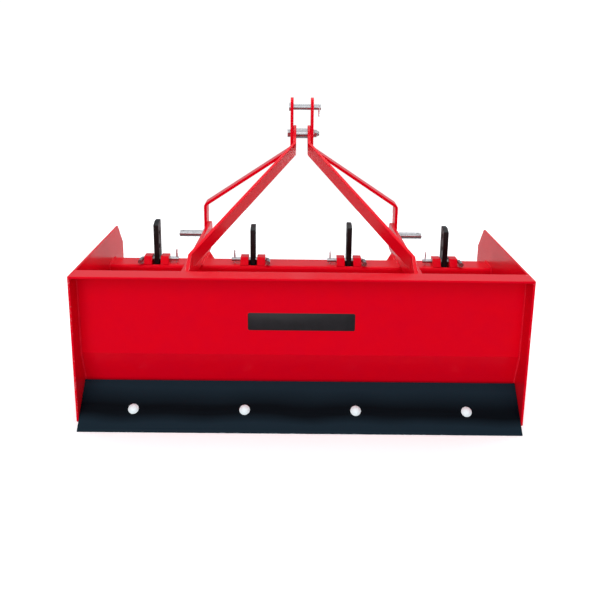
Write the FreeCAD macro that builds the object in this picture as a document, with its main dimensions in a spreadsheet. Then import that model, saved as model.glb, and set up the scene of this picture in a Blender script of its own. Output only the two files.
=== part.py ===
import FreeCAD, Part
import math
import os
import Sketcher

# A box blade for the rear hitch of a small tractor: an open box of steel plate with two
# cutting edges, a toolbar that holds four ripper shanks, and a three-point hitch frame.
# X points right, Y forward to the tractor and Z up from the ground.
# In the sheet, Y is measured forward from the side plates' rear edge.

SIZES = [
    ("box_width", 1219, "outside the side plates"),
    ("side_thick", 6, "side plate"),
    ("side_high", 430, "side plate's level top edge"),
    ("side_level", 546, "length of that top edge"),
    ("side_long", 607, "side plate's whole length"),
    ("side_shoulder_high", 360, "height where its front edge starts"),
    ("side_toe_rise", 45, "front bottom corner, above the ground"),
    ("side_toe_back", 60, "front bottom corner, along the ground"),
    ("side_heel_rise", 16, "rear bottom corner, above the ground"),
    ("side_heel_long", 24, "rear bottom corner, along the ground"),
    ("sheet", 6, "moldboard and curved front plate"),
    ("mold_face", 60, "moldboard's rear face"),
    ("mold_fold_high", 192, "fold where the moldboard starts to lean"),
    ("mold_bend", 4, "inside radius of the moldboard's lip"),
    ("edge_wide", 150, "cutting edge, from its tip to its back"),
    ("edge_thick", 12, "cutting edge"),
    ("edge_end_gap", 0.5, "cutting edge to side plate"),
    ("rear_reach", 28, "rear edge's tip, behind the side plates"),
    ("rear_slope_angle", 43, "degrees, rear edge above the ground"),
    ("front_slope_angle", 45, "degrees, front edge above the ground"),
    ("front_toe", 250, "front edge's tip"),
    ("foot_short", 30, "edge's tip to the end of the sheet that backs it"),
    ("foot_past", 2, "sheet past the edge's back"),
    ("curve_radius", 238, "hollow side of the curved front plate"),
    ("curve_top", 340, "top of the curved front plate"),
    ("weld_gap", 0.3, "between a curved plate and what it is welded to"),
    ("edge_bolt_up", 66, "edge bolts, from the edge's tip"),
    ("edge_bolt_size", 16, "edge bolt's shank"),
    ("edge_bolt_play", 1, "edge bolt in its hole"),
    ("edge_head_wide", 29, "edge bolt's domed head"),
    ("edge_head_high", 8, "edge bolt's domed head"),
    ("edge_nut_wide", 24, "edge bolt's nut across its flats"),
    ("edge_nut_high", 13, "edge bolt's nut"),
    ("edge_thread_past", 5, "edge bolt's thread past its nut"),
    ("bar_wide", 90, "toolbar, a square tube"),
    ("bar_wall", 6, "toolbar's wall"),
    ("bar_round", 11, "toolbar's outer corner radius"),
    ("bar_rear", 412, "toolbar's rear face"),
    ("bar_top", 337, "toolbar's top face"),
    ("shank_inset", 6.75, "outer shanks, inward of midway between hitch plate and side plate"),
    ("shank_thick", 16, "shank, across the box"),
    ("shank_deep", 50, "shank, along the box"),
    ("shank_rear", 432, "shank's rear face"),
    ("shank_1_top", 471, "first shank's top, counted from the left"),
    ("shank_2_top", 458, "second shank's top"),
    ("shank_3_top", 467, "third shank's top"),
    ("shank_4_top", 458, "fourth shank's top"),
    ("shank_top_cut", 22, "sloped cut at the rear of the shank's top"),
    ("shank_top_drop", 9, "fall of that cut"),
    ("shank_play", 1.5, "shank to the slot's ends"),
    ("shank_slot_wide", 27, "slots in the toolbar and the holders"),
    ("shank_bend_high", 205, "where the front edge would turn, were it sharp"),
    ("shank_bend", 60, "inside radius of the shank's bend"),
    ("shank_dip_angle", 35, "degrees, shank's nose below level"),
    ("nose_long", 105, "shank's nose, along its upper edge"),
    ("hole_pitch", 42, "between the shank's holes"),
    ("point_wide", 34, "ripper point, across the box"),
    ("point_wall", 6, "ripper point above and below the nose"),
    ("point_cover", 48, "nose inside the point"),
    ("point_long", 70, "ripper point past the nose"),
    ("point_lip", 10, "ripper point's blunt end"),
    ("point_play", 0.3, "nose inside the point"),
    ("slot_rear", 421, "rear end of the toolbar's slots"),
    ("holder_wide", 78, "shank holder's two cheeks, across the box"),
    ("holder_high", 25, "shank holder above the toolbar"),
    ("holder_rear", 417, "holder's rear foot"),
    ("holder_slant", 12, "slope of the holder's rear, along the box"),
    ("holder_front", 463, "holder's front face"),
    ("pin_size", 13, "shank pin"),
    ("pin_play", 0.5, "shank pin in its holes, all round"),
    ("pin_forward", 448, "shank pin's axis"),
    ("pin_above", 12, "shank pin's axis above the toolbar"),
    ("pin_tail", 68, "shank pin's straight end, from the shank's middle"),
    ("pin_turn", 48, "shank pin's turned end, from the shank's middle"),
    ("pin_turn_radius", 8.5, "shank pin's turn, at its axis"),
    ("handle_out", 1, "shank pin's handle, outward"),
    ("handle_back", 40, "shank pin's handle, rearward"),
    ("clip_at", 60, "clip, from the shank's middle"),
    ("clip_wire", 3.2, "clip's wire"),
    ("clip_play", 0.4, "clip's wire in its hole, all round"),
    ("clip_short", 10, "clip past the pin's axis"),
    ("clip_long", 30, "clip's loop from the pin's axis"),
    ("clip_wide", 11, "between the clip's legs"),
    ("clip_bend", 4.5, "turns of the clip's loop, at the wire's axis"),
    ("plate_thick", 12, "hitch plate"),
    ("plate_outside", 325, "hitch plate's outer face, from the middle"),
    ("plate_rear_top", 426, "hitch plate's top at the moldboard"),
    ("plate_rear_low", 384, "hitch plate's underside at the moldboard"),
    ("plate_front_top", 410, "hitch plate's top at the mast"),
    ("plate_nose", 737, "hitch plate's front"),
    ("plate_belly", 318, "hitch plate's underside below the lower pin"),
    ("plate_heel", 262, "hitch plate's foot on the toolbar's front face"),
    ("plate_heel_long", 70, "length of the slope up from that foot"),
    ("plate_nose_round", 32, "hitch plate's front corners"),
    ("gusset_thick", 8, "gusset"),
    ("gusset_wide", 38, "gusset along the toolbar"),
    ("gusset_reach", 0.55, "gusset along the hitch plate, as a part of what stands past the toolbar"),
    ("gusset_below", 13, "gusset below the toolbar's top"),
    ("mast_thick", 10, "mast bar"),
    ("mast_wide", 64, "mast bar, along the box"),
    ("mast_behind", 66, "mast bar's rear edge, behind the hitch plate's nose"),
    ("mast_low_fold_up", 112, "mast bar's lower fold, above the lower hitch pin"),
    ("mast_high_fold_down", 137, "mast bar's upper fold, below the top link pin"),
    ("mast_ear", 39, "mast bar's outer face at the top, from the middle"),
    ("mast_round", 31, "mast bar's end corners"),
    ("fold_inside", 8, "inside radius of the mast bars' and braces' folds"),
    ("low_pin_high", 366, "lower hitch pin's axis"),
    ("low_pin_size", 22.2, "lower hitch pin"),
    ("low_pin_spread", 683, "between the lower pins' shoulders"),
    ("low_pin_long", 84, "lower hitch pin past its shoulder"),
    ("low_pin_edge", 2.5, "chamfer on the lower pin's end"),
    ("collar_size", 34, "lower pin's shoulder"),
    ("stud_size", 19, "lower pin's threaded end"),
    ("stud_past", 4, "threaded end past its nut"),
    ("low_nut_wide", 30, "lower pin's nut across its flats"),
    ("low_nut_high", 16, "lower pin's nut"),
    ("linch_size", 11.5, "hole in the lower pin's end"),
    ("linch_in", 14, "that hole from the pin's end"),
    ("bolt_play", 0.3, "hitch pins and mast bolt in their holes, all round"),
    ("top_pin_high", 811, "top link pin's axis"),
    ("top_pin_size", 19.1, "top link pin"),
    ("top_pin_tail", 24, "top link pin past the mast bar"),
    ("top_head_size", 27, "top link pin's head"),
    ("top_head_thick", 5, "top link pin's head"),
    ("top_clip_in", 7, "clip's hole from the top link pin's end"),
    ("mast_bolt_down", 89, "mast bolt's axis, below the top link pin"),
    ("mast_bolt_size", 16, "mast bolt"),
    ("mast_head_high", 10, "mast bolt's head"),
    ("mast_nut_high", 14, "mast bolt's nut"),
    ("mast_nut_wide", 24, "mast bolt's head and nut across the flats"),
    ("mast_thread_past", 6, "mast bolt's thread past its nut"),
    ("spacer_size", 33, "spacer tube between the braces"),
    ("brace_thick", 10, "brace"),
    ("brace_wide", 50, "brace"),
    ("brace_head", 28, "brace past the mast bolt"),
    ("brace_head_long", 90, "mast bolt to the brace's upper fold"),
    ("brace_foot_long", 68, "brace's foot, past its lower fold"),
    ("brace_foot_gap", 13.3, "brace's foot, in front of the moldboard"),
    ("brace_foot_down", 21.8, "brace's foot, below the hitch plate's top there"),
    ("brace_round", 23, "corners of the brace's head"),
]

SHANKS = range(4)
# Which way each shank pin's handle points along X.
HANDLE_SIDES = (-1, 1, 1, 1)
SIDES = (("left", -1), ("right", 1))


class Size:
    """A length, an angle or a plain number, with the sheet expression that gives it."""

    def __init__(self, value, text):
        self.value = value
        self.text = text

    def __add__(self, other):
        other = sized(other)
        return Size(self.value + other.value, "(" + self.text + " + " + other.text + ")")

    def __sub__(self, other):
        other = sized(other)
        return Size(self.value - other.value, "(" + self.text + " - " + other.text + ")")

    def __mul__(self, other):
        other = sized(other)
        return Size(self.value * other.value, "(" + self.text + " * " + other.text + ")")

    def __truediv__(self, other):
        other = sized(other)
        return Size(self.value / other.value, "(" + self.text + " / " + other.text + ")")

    def __neg__(self):
        return Size(-self.value, "(-1 * " + self.text + ")")


def sized(number):
    """Returns number as a Size."""
    if isinstance(number, Size):
        return number
    return Size(float(number), repr(float(number)))


def sine(angle):
    return Size(math.sin(math.radians(angle.value)), "sin(" + angle.text + ")")


def cosine(angle):
    return Size(math.cos(math.radians(angle.value)), "cos(" + angle.text + ")")


def tangent(angle):
    return Size(math.tan(math.radians(angle.value)), "tan(" + angle.text + ")")


def slope_of(rise, run):
    """Returns the angle of a line that rises so much over a run, in degrees."""
    ratio = rise / run
    return Size(math.degrees(math.atan(ratio.value)), "atan(" + ratio.text + ")")


class Sheet:
    """The spreadsheet of driving sizes, each read by its alias."""

    def __init__(self, document, rows):
        self.cells = document.addObject("Spreadsheet::Sheet", "Sizes")
        for number, (alias, value, note) in enumerate(rows, start=1):
            self.cells.set("A%d" % number, alias)
            self.cells.set("B%d" % number, str(value))
            self.cells.set("C%d" % number, note)
            self.cells.setAlias("B%d" % number, alias)
        document.recompute()
        for alias, _, _ in rows:
            setattr(self, alias, Size(float(self.cells.get(alias)), "Sizes." + alias))


doc = FreeCAD.newDocument("box_blade")
s = Sheet(doc, SIZES)
pieces = []

ZERO = sized(0)
ACROSS = FreeCAD.Vector(1, 0, 0)
FORWARD = FreeCAD.Vector(0, 1, 0)
UP = FreeCAD.Vector(0, 0, 1)

inner_half = s.box_width / 2 - s.side_thick
inner_width = inner_half * 2
# The origin lies under the middle of the whole length, from the rear edge's tip to the plates' nose.
back_shift = -((s.plate_nose - s.rear_reach) / 2)
mast_rear = s.plate_nose - s.mast_behind
mast_middle = mast_rear + s.mast_wide / 2
mast_bolt_high = s.top_pin_high - s.mast_bolt_down
mast_ear_inside = s.mast_ear - s.mast_thick
plate_inside = s.plate_outside - s.plate_thick
bar_front = s.bar_rear + s.bar_wide
pin_high = s.bar_top + s.pin_above
mold_back = s.mold_face + s.sheet
# The outer shanks and bolts stand between hitch plate and side plate, and all four are evenly spaced.
shank_pitch = ((s.plate_outside + inner_half) / 2 - s.shank_inset) / 1.5
first_shank = shank_pitch * -1.5


def shank_place(number):
    """Returns where the numbered shank stands across the box."""
    return shank_pitch * (number - 1.5)


def new_body(name):
    body = doc.addObject("PartDesign::Body", name)
    body.Label = name
    pieces.append(body)
    return body


def place(body, across=ZERO, forward=ZERO, high=ZERO, axis=ACROSS, turn=ZERO):
    """Puts a body's own origin at a point of the box, turned about one axis."""
    turned = FreeCAD.Rotation(axis, turn.value)
    forward = forward + back_shift
    body.Placement = FreeCAD.Placement(FreeCAD.Vector(across.value, forward.value, high.value), turned)
    body.setExpression("Placement.Base.x", across.text)
    body.setExpression("Placement.Base.y", forward.text)
    body.setExpression("Placement.Base.z", high.text)
    if turn.value:
        body.setExpression("Placement.Rotation.Angle", turn.text)


def new_sketch(body, role, name, offset=ZERO):
    """Adds a sketch on one of the body's own origin planes, moved along its normal."""
    sketch = body.newObject("Sketcher::SketchObject", name)
    plane = [feature for feature in body.Origin.OriginFeatures if feature.Role == role][0]
    sketch.AttachmentSupport = [(plane, "")]
    sketch.MapMode = "FlatFace"
    if offset.value:
        sketch.AttachmentOffset = FreeCAD.Placement(FreeCAD.Vector(0, 0, offset.value), FreeCAD.Rotation())
        sketch.setExpression("AttachmentOffset.Base.z", offset.text)
    return sketch


def slanted_sketch(body, name, forward, high, slope):
    """Adds a sketch on a plane that leans about X, with its origin at a point of the box."""
    sketch = new_sketch(body, "XY_Plane", name)
    base = FreeCAD.Vector(0, forward.value, high.value)
    sketch.AttachmentOffset = FreeCAD.Placement(base, FreeCAD.Rotation(ACROSS, slope.value))
    sketch.setExpression("AttachmentOffset.Base.y", forward.text)
    sketch.setExpression("AttachmentOffset.Base.z", high.text)
    sketch.setExpression("AttachmentOffset.Rotation.Angle", slope.text)
    return sketch


def bind(sketch, constraint, size):
    """Adds a constraint whose value comes from the sheet."""
    number = sketch.addConstraint(constraint)
    sketch.setExpression("Constraints[%d]" % number, size.text)


def pin_point(sketch, shape, end, across, up):
    """Fixes one point of a sketch."""
    if across is ZERO:
        sketch.addConstraint(Sketcher.Constraint("PointOnObject", shape, end, -2))
    else:
        bind(sketch, Sketcher.Constraint("DistanceX", shape, end, across.value), across)
    if up is ZERO:
        sketch.addConstraint(Sketcher.Constraint("PointOnObject", shape, end, -1))
    else:
        bind(sketch, Sketcher.Constraint("DistanceY", shape, end, up.value), up)


def unit(start, end):
    return (end - start).normalize()


def rounded(before, corner, after, radius):
    """Returns a rounded corner's two tangent points and its centre."""
    arriving = unit(before, corner)
    leaving = unit(corner, after)
    half_turn = arriving.getAngle(leaving) / 2
    reach = radius * math.tan(half_turn)
    inward = (leaving - arriving).normalize()
    centre = corner + inward * (radius / math.cos(half_turn))
    return corner - arriving * reach, corner + leaving * reach, centre


def outline(sketch, corners, closed=True):
    """Draws straight lines through corners, each (across, up) or (across, up, corner radius)."""
    count = len(corners)
    points = [FreeCAD.Vector(corner[0].value, corner[1].value, 0) for corner in corners]
    radii = [corner[2] if len(corner) > 2 else None for corner in corners]
    starts = list(points)
    ends = list(points)
    centres = [None] * count
    for i in range(count):
        if radii[i] is not None:
            following = points[(i + 1) % count]
            ends[i], starts[i], centres[i] = rounded(points[i - 1], points[i], following, radii[i].value)
    lines = []
    for i in range(count if closed else count - 1):
        line = Part.LineSegment(starts[i], ends[(i + 1) % count])
        lines.append(sketch.addGeometry(line, False))
    for i in range(count):
        first = not closed and i == 0
        last = not closed and i == count - 1
        if radii[i] is None:
            if last:
                pin_point(sketch, lines[i - 1], 2, corners[i][0], corners[i][1])
                continue
            if not first:
                sketch.addConstraint(Sketcher.Constraint("Coincident", lines[i - 1], 2, lines[i], 1))
            pin_point(sketch, lines[i], 1, corners[i][0], corners[i][1])
            continue
        from_centre = ends[i] - centres[i]
        to_centre = starts[i] - centres[i]
        turn_left = from_centre.cross(to_centre).z > 0
        opening = math.atan2(from_centre.y, from_centre.x)
        closing = math.atan2(to_centre.y, to_centre.x)
        if not turn_left:
            opening, closing = closing, opening
        circle = Part.Circle(centres[i], UP, radii[i].value)
        arc = sketch.addGeometry(Part.ArcOfCircle(circle, opening, closing), False)
        near, far = (1, 2) if turn_left else (2, 1)
        sketch.addConstraint(Sketcher.Constraint("Tangent", lines[i - 1], 2, arc, near))
        sketch.addConstraint(Sketcher.Constraint("Tangent", lines[i], 1, arc, far))
        bind(sketch, Sketcher.Constraint("Radius", arc, radii[i].value), radii[i])
        tip = sketch.addGeometry(Part.Point(points[i]), True)
        sketch.addConstraint(Sketcher.Constraint("PointOnObject", tip, 1, lines[i - 1]))
        sketch.addConstraint(Sketcher.Constraint("PointOnObject", tip, 1, lines[i]))
        pin_point(sketch, tip, 1, corners[i][0], corners[i][1])


def folded(sketch, corners, thick, side):
    """Draws a folded bar's section: one face through corners, the other thick away on one side."""
    near = [FreeCAD.Vector(corner[0].value, corner[1].value, 0) for corner in corners]
    far = []
    for i, point in enumerate(near):
        arriving = unit(near[i - 1], point) if i else unit(point, near[1])
        leaving = unit(point, near[i + 1]) if i < len(near) - 1 else arriving
        half_turn = arriving.getAngle(leaving) / 2
        across = (arriving + leaving).normalize().cross(UP) * side
        far.append(point + across * (thick.value / math.cos(half_turn)))
    near_lines = []
    far_lines = []
    for i in range(len(near) - 1):
        near_lines.append(sketch.addGeometry(Part.LineSegment(near[i], near[i + 1]), False))
        far_lines.append(sketch.addGeometry(Part.LineSegment(far[i], far[i + 1]), False))
        if i:
            sketch.addConstraint(Sketcher.Constraint("Coincident", near_lines[i - 1], 2, near_lines[i], 1))
            sketch.addConstraint(Sketcher.Constraint("Coincident", far_lines[i - 1], 2, far_lines[i], 1))
        pin_point(sketch, near_lines[i], 1, corners[i][0], corners[i][1])
        sketch.addConstraint(Sketcher.Constraint("Parallel", near_lines[i], far_lines[i]))
        bind(sketch, Sketcher.Constraint("Distance", far_lines[i], 1, near_lines[i], thick.value), thick)
    pin_point(sketch, near_lines[-1], 2, corners[-1][0], corners[-1][1])
    for end, here in ((1, 0), (2, -1)):
        cap = sketch.addGeometry(Part.LineSegment(near[here], far[here]), False)
        sketch.addConstraint(Sketcher.Constraint("Coincident", cap, 1, near_lines[here], end))
        sketch.addConstraint(Sketcher.Constraint("Coincident", cap, 2, far_lines[here], end))
        sketch.addConstraint(Sketcher.Constraint("Perpendicular", cap, near_lines[here]))


def circle(sketch, across, up, diameter):
    """Draws a circle."""
    centre = FreeCAD.Vector(across.value, up.value, 0)
    shape = sketch.addGeometry(Part.Circle(centre, UP, diameter.value / 2), False)
    pin_point(sketch, shape, 3, across, up)
    bind(sketch, Sketcher.Constraint("Diameter", shape, diameter.value), diameter)


def hexagon(sketch, flats):
    """Draws a hexagon about the sketch's origin, from its width across the flats."""
    reach = flats / 2
    half = flats / 2 * tangent(sized(30))
    corner = half * 2
    points = [
        (corner, ZERO),
        (half, reach),
        (-half, reach),
        (-corner, ZERO),
        (-half, -reach),
        (half, -reach),
    ]
    outline(sketch, points)


def pad(body, sketch, length, name, symmetric=False, backward=False):
    feature = body.newObject("PartDesign::Pad", name)
    feature.Profile = sketch
    feature.setExpression("Length", length.text)
    if symmetric:
        feature.SideType = "Symmetric"
    feature.Reversed = backward
    sketch.Visibility = False
    return feature


def cut_through(body, sketch, name, both_ways=True):
    """Cuts a sketch's outlines right through the body."""
    feature = body.newObject("PartDesign::Pocket", name)
    feature.Profile = sketch
    feature.Type = "ThroughAll"
    if both_ways:
        feature.SideType = "Symmetric"
    sketch.Visibility = False
    return feature


def cut_middle(body, sketch, wide, name):
    """Cuts a sketch's outlines as wide as given, half to each side."""
    feature = body.newObject("PartDesign::Pocket", name)
    feature.Profile = sketch
    feature.SideType = "Symmetric"
    feature.setExpression("Length", wide.text)
    sketch.Visibility = False
    return feature


def repeat_across(body, feature, name):
    """Repeats a feature at the four places across the box."""
    pattern = body.newObject("PartDesign::LinearPattern", name)
    pattern.Originals = [feature]
    pattern.Direction = (feature.Profile[0], ["H_Axis"])
    pattern.setExpression("Length", (shank_pitch * 3).text)
    pattern.Occurrences = len(SHANKS)
    body.Tip = pattern
    return pattern


def round_edges(body, radius, name, chosen):
    """Rounds the edges of the body's last feature that chosen accepts."""
    doc.recompute()
    base = body.Tip
    names = ["Edge%d" % n for n, edge in enumerate(base.Shape.Edges, start=1) if chosen(edge)]
    feature = body.newObject("PartDesign::Fillet", name)
    feature.Base = (base, names)
    feature.setExpression("Radius", radius.text)
    return feature


def straight_along(edge, direction):
    """Tells whether an edge is straight and parallel to a direction."""
    if edge.Curve.TypeId != "Part::GeomLine":
        return False
    return edge.Curve.Direction.cross(direction).Length < 1e-6


def near_point(edge, first, second, axes):
    """Tells whether an edge's middle has the given two coordinates."""
    middle = edge.CenterOfMass
    off_first = abs(getattr(middle, axes[0]) - first.value)
    off_second = abs(getattr(middle, axes[1]) - second.value)
    return off_first < 0.01 and off_second < 0.01


def round_folds(body, name, direction, climb, ends, faces, thick):
    """Rounds a folded bar's lower fold, which leans inward, and its upper one, which turns back up."""
    low, high = faces

    def at_fold(edge, distances):
        middle = edge.CenterOfMass
        if not ends[0].value + 1 < getattr(middle, climb) < ends[1].value - 1:
            return False
        at_face = any(abs(abs(middle.x) - distance.value) < 0.01 for distance in distances)
        return at_face and straight_along(edge, direction)

    def hollow(edge):
        return at_fold(edge, (low - thick, high))

    def proud(edge):
        return at_fold(edge, (low, high - thick))

    round_edges(body, s.fold_inside, name + "_fold_insides", hollow)
    round_edges(body, s.fold_inside + thick, name + "_fold_outsides", proud)


def side_plate(name, side):
    body = new_body(name)
    inside = inner_half if side > 0 else -(s.box_width / 2)
    sketch = new_sketch(body, "YZ_Plane", name + "_outline", inside)
    outline(sketch, [
        (s.side_heel_long, ZERO),
        (s.side_long - s.side_toe_back, ZERO),
        (s.side_long, s.side_toe_rise),
        (s.side_long, s.side_shoulder_high),
        (s.side_level, s.side_high),
        (ZERO, s.side_high),
        (ZERO, s.side_heel_rise),
    ])
    pad(body, sketch, s.side_thick, name + "_plate")
    place(body)


def rear_line(along, under):
    """Returns a point measured up the rear edge from its tip, and down through it."""
    forward = cosine(s.rear_slope_angle) * along + sine(s.rear_slope_angle) * under - s.rear_reach
    high = sine(s.rear_slope_angle) * along - cosine(s.rear_slope_angle) * under
    return forward, high


def front_line(along, above):
    """Returns a point measured up the front edge's back from its tip, and out through it."""
    forward = s.front_toe - cosine(s.front_slope_angle) * along + sine(s.front_slope_angle) * above
    high = sine(s.front_slope_angle) * along + cosine(s.front_slope_angle) * above
    return forward, high


def edge_holes(body, name, forward, high, slope, along):
    """Drills the four bolt holes of a cutting edge."""
    sketch = slanted_sketch(body, name + "_bolt_hole", forward, high, slope)
    circle(sketch, first_shank, along, s.edge_bolt_size + s.edge_bolt_play)
    hole = cut_through(body, sketch, name + "_bolt_cut")
    repeat_across(body, hole, name + "_bolt_cuts")


def moldboard():
    body = new_body("moldboard")
    sketch = new_sketch(body, "YZ_Plane", "moldboard_section")
    lip_under = s.side_high - s.sheet
    folded(sketch, [
        (ZERO, lip_under),
        (s.mold_face, lip_under),
        (s.mold_face, s.mold_fold_high),
        rear_line(s.edge_wide + s.foot_past, s.edge_thick),
        rear_line(s.foot_short, s.edge_thick),
    ], s.sheet, -1)
    pad(body, sketch, inner_width, "moldboard_sheet", symmetric=True)

    def inner_bend(edge):
        return straight_along(edge, ACROSS) and near_point(edge, s.mold_face, lip_under, "yz")

    def outer_bend(edge):
        return straight_along(edge, ACROSS) and near_point(edge, mold_back, s.side_high, "yz")

    round_edges(body, s.mold_bend, "lip_inside", inner_bend)
    round_edges(body, s.mold_bend + s.sheet, "lip_outside", outer_bend)
    foot = rear_line(ZERO, s.edge_thick)
    edge_holes(body, "moldboard", foot[0], foot[1], s.rear_slope_angle, s.edge_bolt_up)
    place(body)


def front_curve_plate():
    body = new_body("front_curve_plate")
    sketch = new_sketch(body, "YZ_Plane", "front_curve_section")
    back = mold_back + s.weld_gap
    face = back + s.sheet
    turn_half = (sized(90) - s.front_slope_angle) / 2
    corner_high = (s.front_toe - face) * tangent(s.front_slope_angle)
    outline(sketch, [
        (face, s.curve_top),
        (face, corner_high, s.curve_radius),
        front_line(s.foot_short, ZERO),
        front_line(s.foot_short, -s.sheet),
        (back, corner_high - s.sheet * tangent(turn_half), s.curve_radius + s.sheet),
        (back, s.curve_top),
    ])
    pad(body, sketch, inner_width, "front_curve_sheet", symmetric=True)
    edge_holes(body, "front_curve", s.front_toe, ZERO, -s.front_slope_angle, -s.edge_bolt_up)
    place(body)


def cutting_edge(name, corners, forward, turn, bolt_along):
    """Makes a flat cutting edge in a frame whose Z leaves its face."""
    body = new_body(name)
    sketch = new_sketch(body, "YZ_Plane", name + "_section")
    outline(sketch, corners)
    pad(body, sketch, inner_width - s.edge_end_gap * 2, name + "_bar", symmetric=True)
    hole = new_sketch(body, "XY_Plane", name + "_bolt_hole")
    circle(hole, first_shank, bolt_along, s.edge_bolt_size + s.edge_bolt_play)
    repeat_across(body, cut_through(body, hole, name + "_bolt_cut"), name + "_bolt_cuts")
    place(body, forward=forward, turn=turn)


def rear_cutting_edge():
    ground_cut = s.edge_thick * cosine(s.rear_slope_angle) / sine(s.rear_slope_angle)
    corners = [
        (ZERO, ZERO),
        (ground_cut, -s.edge_thick),
        (s.edge_wide, -s.edge_thick),
        (s.edge_wide, ZERO),
    ]
    cutting_edge("rear_cutting_edge", corners, -s.rear_reach, s.rear_slope_angle, s.edge_bolt_up)


def front_cutting_edge():
    corners = [
        (-s.edge_wide, ZERO),
        (ZERO, ZERO),
        (ZERO, s.edge_thick),
        (-s.edge_wide, s.edge_thick),
    ]
    cutting_edge("front_cutting_edge", corners, s.front_toe, -s.front_slope_angle, -s.edge_bolt_up)


def edge_bolts(name, seat, turn):
    """Makes a cutting edge's four domed bolts, each with its nut, from the head's seat down."""
    body = new_body(name)
    body.AllowCompound = True
    radius = s.edge_head_wide / 2
    dome = (radius * radius + s.edge_head_high * s.edge_head_high) / (s.edge_head_high * 2)
    grip = s.edge_thick + s.sheet
    head = new_sketch(body, "XZ_Plane", name + "_head_section")
    draw_dome(head, radius, dome)
    turned = body.newObject("PartDesign::Revolution", name + "_head")
    turned.Profile = head
    turned.ReferenceAxis = (head, ["V_Axis"])
    shank = new_sketch(body, "XY_Plane", name + "_shank_circle")
    circle(shank, ZERO, ZERO, s.edge_bolt_size)
    pad(body, shank, grip + s.edge_nut_high + s.edge_thread_past, name + "_shank", backward=True)
    nut = new_sketch(body, "XY_Plane", name + "_nut_hexagon", -grip)
    hexagon(nut, s.edge_nut_wide)
    pad(body, nut, s.edge_nut_high, name + "_nut", backward=True)
    doc.recompute()
    pattern = body.newObject("PartDesign::LinearPattern", name + "_row")
    pattern.TransformMode = "Whole shape"
    pattern.Direction = (shank, ["H_Axis"])
    pattern.setExpression("Length", (shank_pitch * 3).text)
    pattern.Occurrences = len(SHANKS)
    body.Tip = pattern
    place(body, across=first_shank, forward=seat[0], high=seat[1], turn=turn)


def draw_dome(sketch, radius, dome):
    """Draws half of a domed head: its flat seat, its crown and its axis."""
    high = s.edge_head_high
    centre = FreeCAD.Vector(0, high.value - dome.value, 0)
    rim = math.atan2(-centre.y, radius.value)
    arc = Part.ArcOfCircle(Part.Circle(centre, UP, dome.value), rim, math.pi / 2)
    crown = sketch.addGeometry(arc, False)
    middle = FreeCAD.Vector(0, 0, 0)
    seat = sketch.addGeometry(Part.LineSegment(middle, FreeCAD.Vector(radius.value, 0, 0)), False)
    axis = sketch.addGeometry(Part.LineSegment(FreeCAD.Vector(0, high.value, 0), middle), False)
    sketch.addConstraint(Sketcher.Constraint("Coincident", seat, 2, crown, 1))
    sketch.addConstraint(Sketcher.Constraint("Coincident", crown, 2, axis, 1))
    sketch.addConstraint(Sketcher.Constraint("Coincident", axis, 2, seat, 1))
    sketch.addConstraint(Sketcher.Constraint("Coincident", seat, 1, -1, 1))
    sketch.addConstraint(Sketcher.Constraint("PointOnObject", seat, 2, -1))
    sketch.addConstraint(Sketcher.Constraint("PointOnObject", axis, 1, -2))
    sketch.addConstraint(Sketcher.Constraint("PointOnObject", crown, 3, -2))
    bind(sketch, Sketcher.Constraint("DistanceX", seat, 2, radius.value), radius)
    bind(sketch, Sketcher.Constraint("DistanceY", axis, 1, high.value), high)


def slot(sketch, middle):
    """Draws the outline of a shank's slot, seen from above."""
    half = s.shank_slot_wide / 2
    front = s.shank_rear + s.shank_deep + s.shank_play
    outline(sketch, [
        (middle - half, s.slot_rear),
        (middle + half, s.slot_rear),
        (middle + half, front),
        (middle - half, front),
    ])


def toolbar():
    body = new_body("toolbar")
    sketch = new_sketch(body, "YZ_Plane", "toolbar_section")
    low = s.bar_top - s.bar_wide
    for inset in (ZERO, s.bar_wall):
        radius = s.bar_round - inset
        outline(sketch, [
            (s.bar_rear + inset, low + inset, radius),
            (bar_front - inset, low + inset, radius),
            (bar_front - inset, s.bar_top - inset, radius),
            (s.bar_rear + inset, s.bar_top - inset, radius),
        ])
    pad(body, sketch, inner_width, "toolbar_tube", symmetric=True)
    opening = new_sketch(body, "XY_Plane", "toolbar_slot", s.bar_top)
    slot(opening, first_shank)
    repeat_across(body, cut_through(body, opening, "toolbar_slot_cut"), "toolbar_slots")
    place(body)


def shank_holder(number):
    """Makes the two cheeks that stand beside a shank and carry its pin."""
    name = "shank_holder_%d" % (number + 1)
    body = new_body(name)
    body.AllowCompound = True
    top = s.bar_top + s.holder_high
    sketch = new_sketch(body, "YZ_Plane", name + "_side")
    outline(sketch, [
        (s.holder_rear, s.bar_top),
        (s.holder_front, s.bar_top),
        (s.holder_front, top),
        (s.holder_rear + s.holder_slant, top),
    ])
    pad(body, sketch, s.holder_wide, name + "_block", symmetric=True)
    opening = new_sketch(body, "XY_Plane", name + "_slot", s.bar_top)
    half = s.shank_slot_wide / 2
    rear = s.holder_rear - 1
    front = s.holder_front + 1
    outline(opening, [(-half, rear), (half, rear), (half, front), (-half, front)])
    cut_through(body, opening, name + "_slot_cut")
    hole = new_sketch(body, "YZ_Plane", name + "_pin_hole")
    circle(hole, s.pin_forward, pin_high, s.pin_size + s.pin_play * 2)
    cut_through(body, hole, name + "_pin_cut")
    place(body, across=shank_place(number))


def nose_line(along, under):
    """Returns a point measured along a shank's nose, from its sharp bend, and down through it."""
    front = s.shank_rear + s.shank_deep
    forward = front + cosine(s.shank_dip_angle) * along - sine(s.shank_dip_angle) * under
    high = s.shank_bend_high - sine(s.shank_dip_angle) * along - cosine(s.shank_dip_angle) * under
    return forward, high


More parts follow.
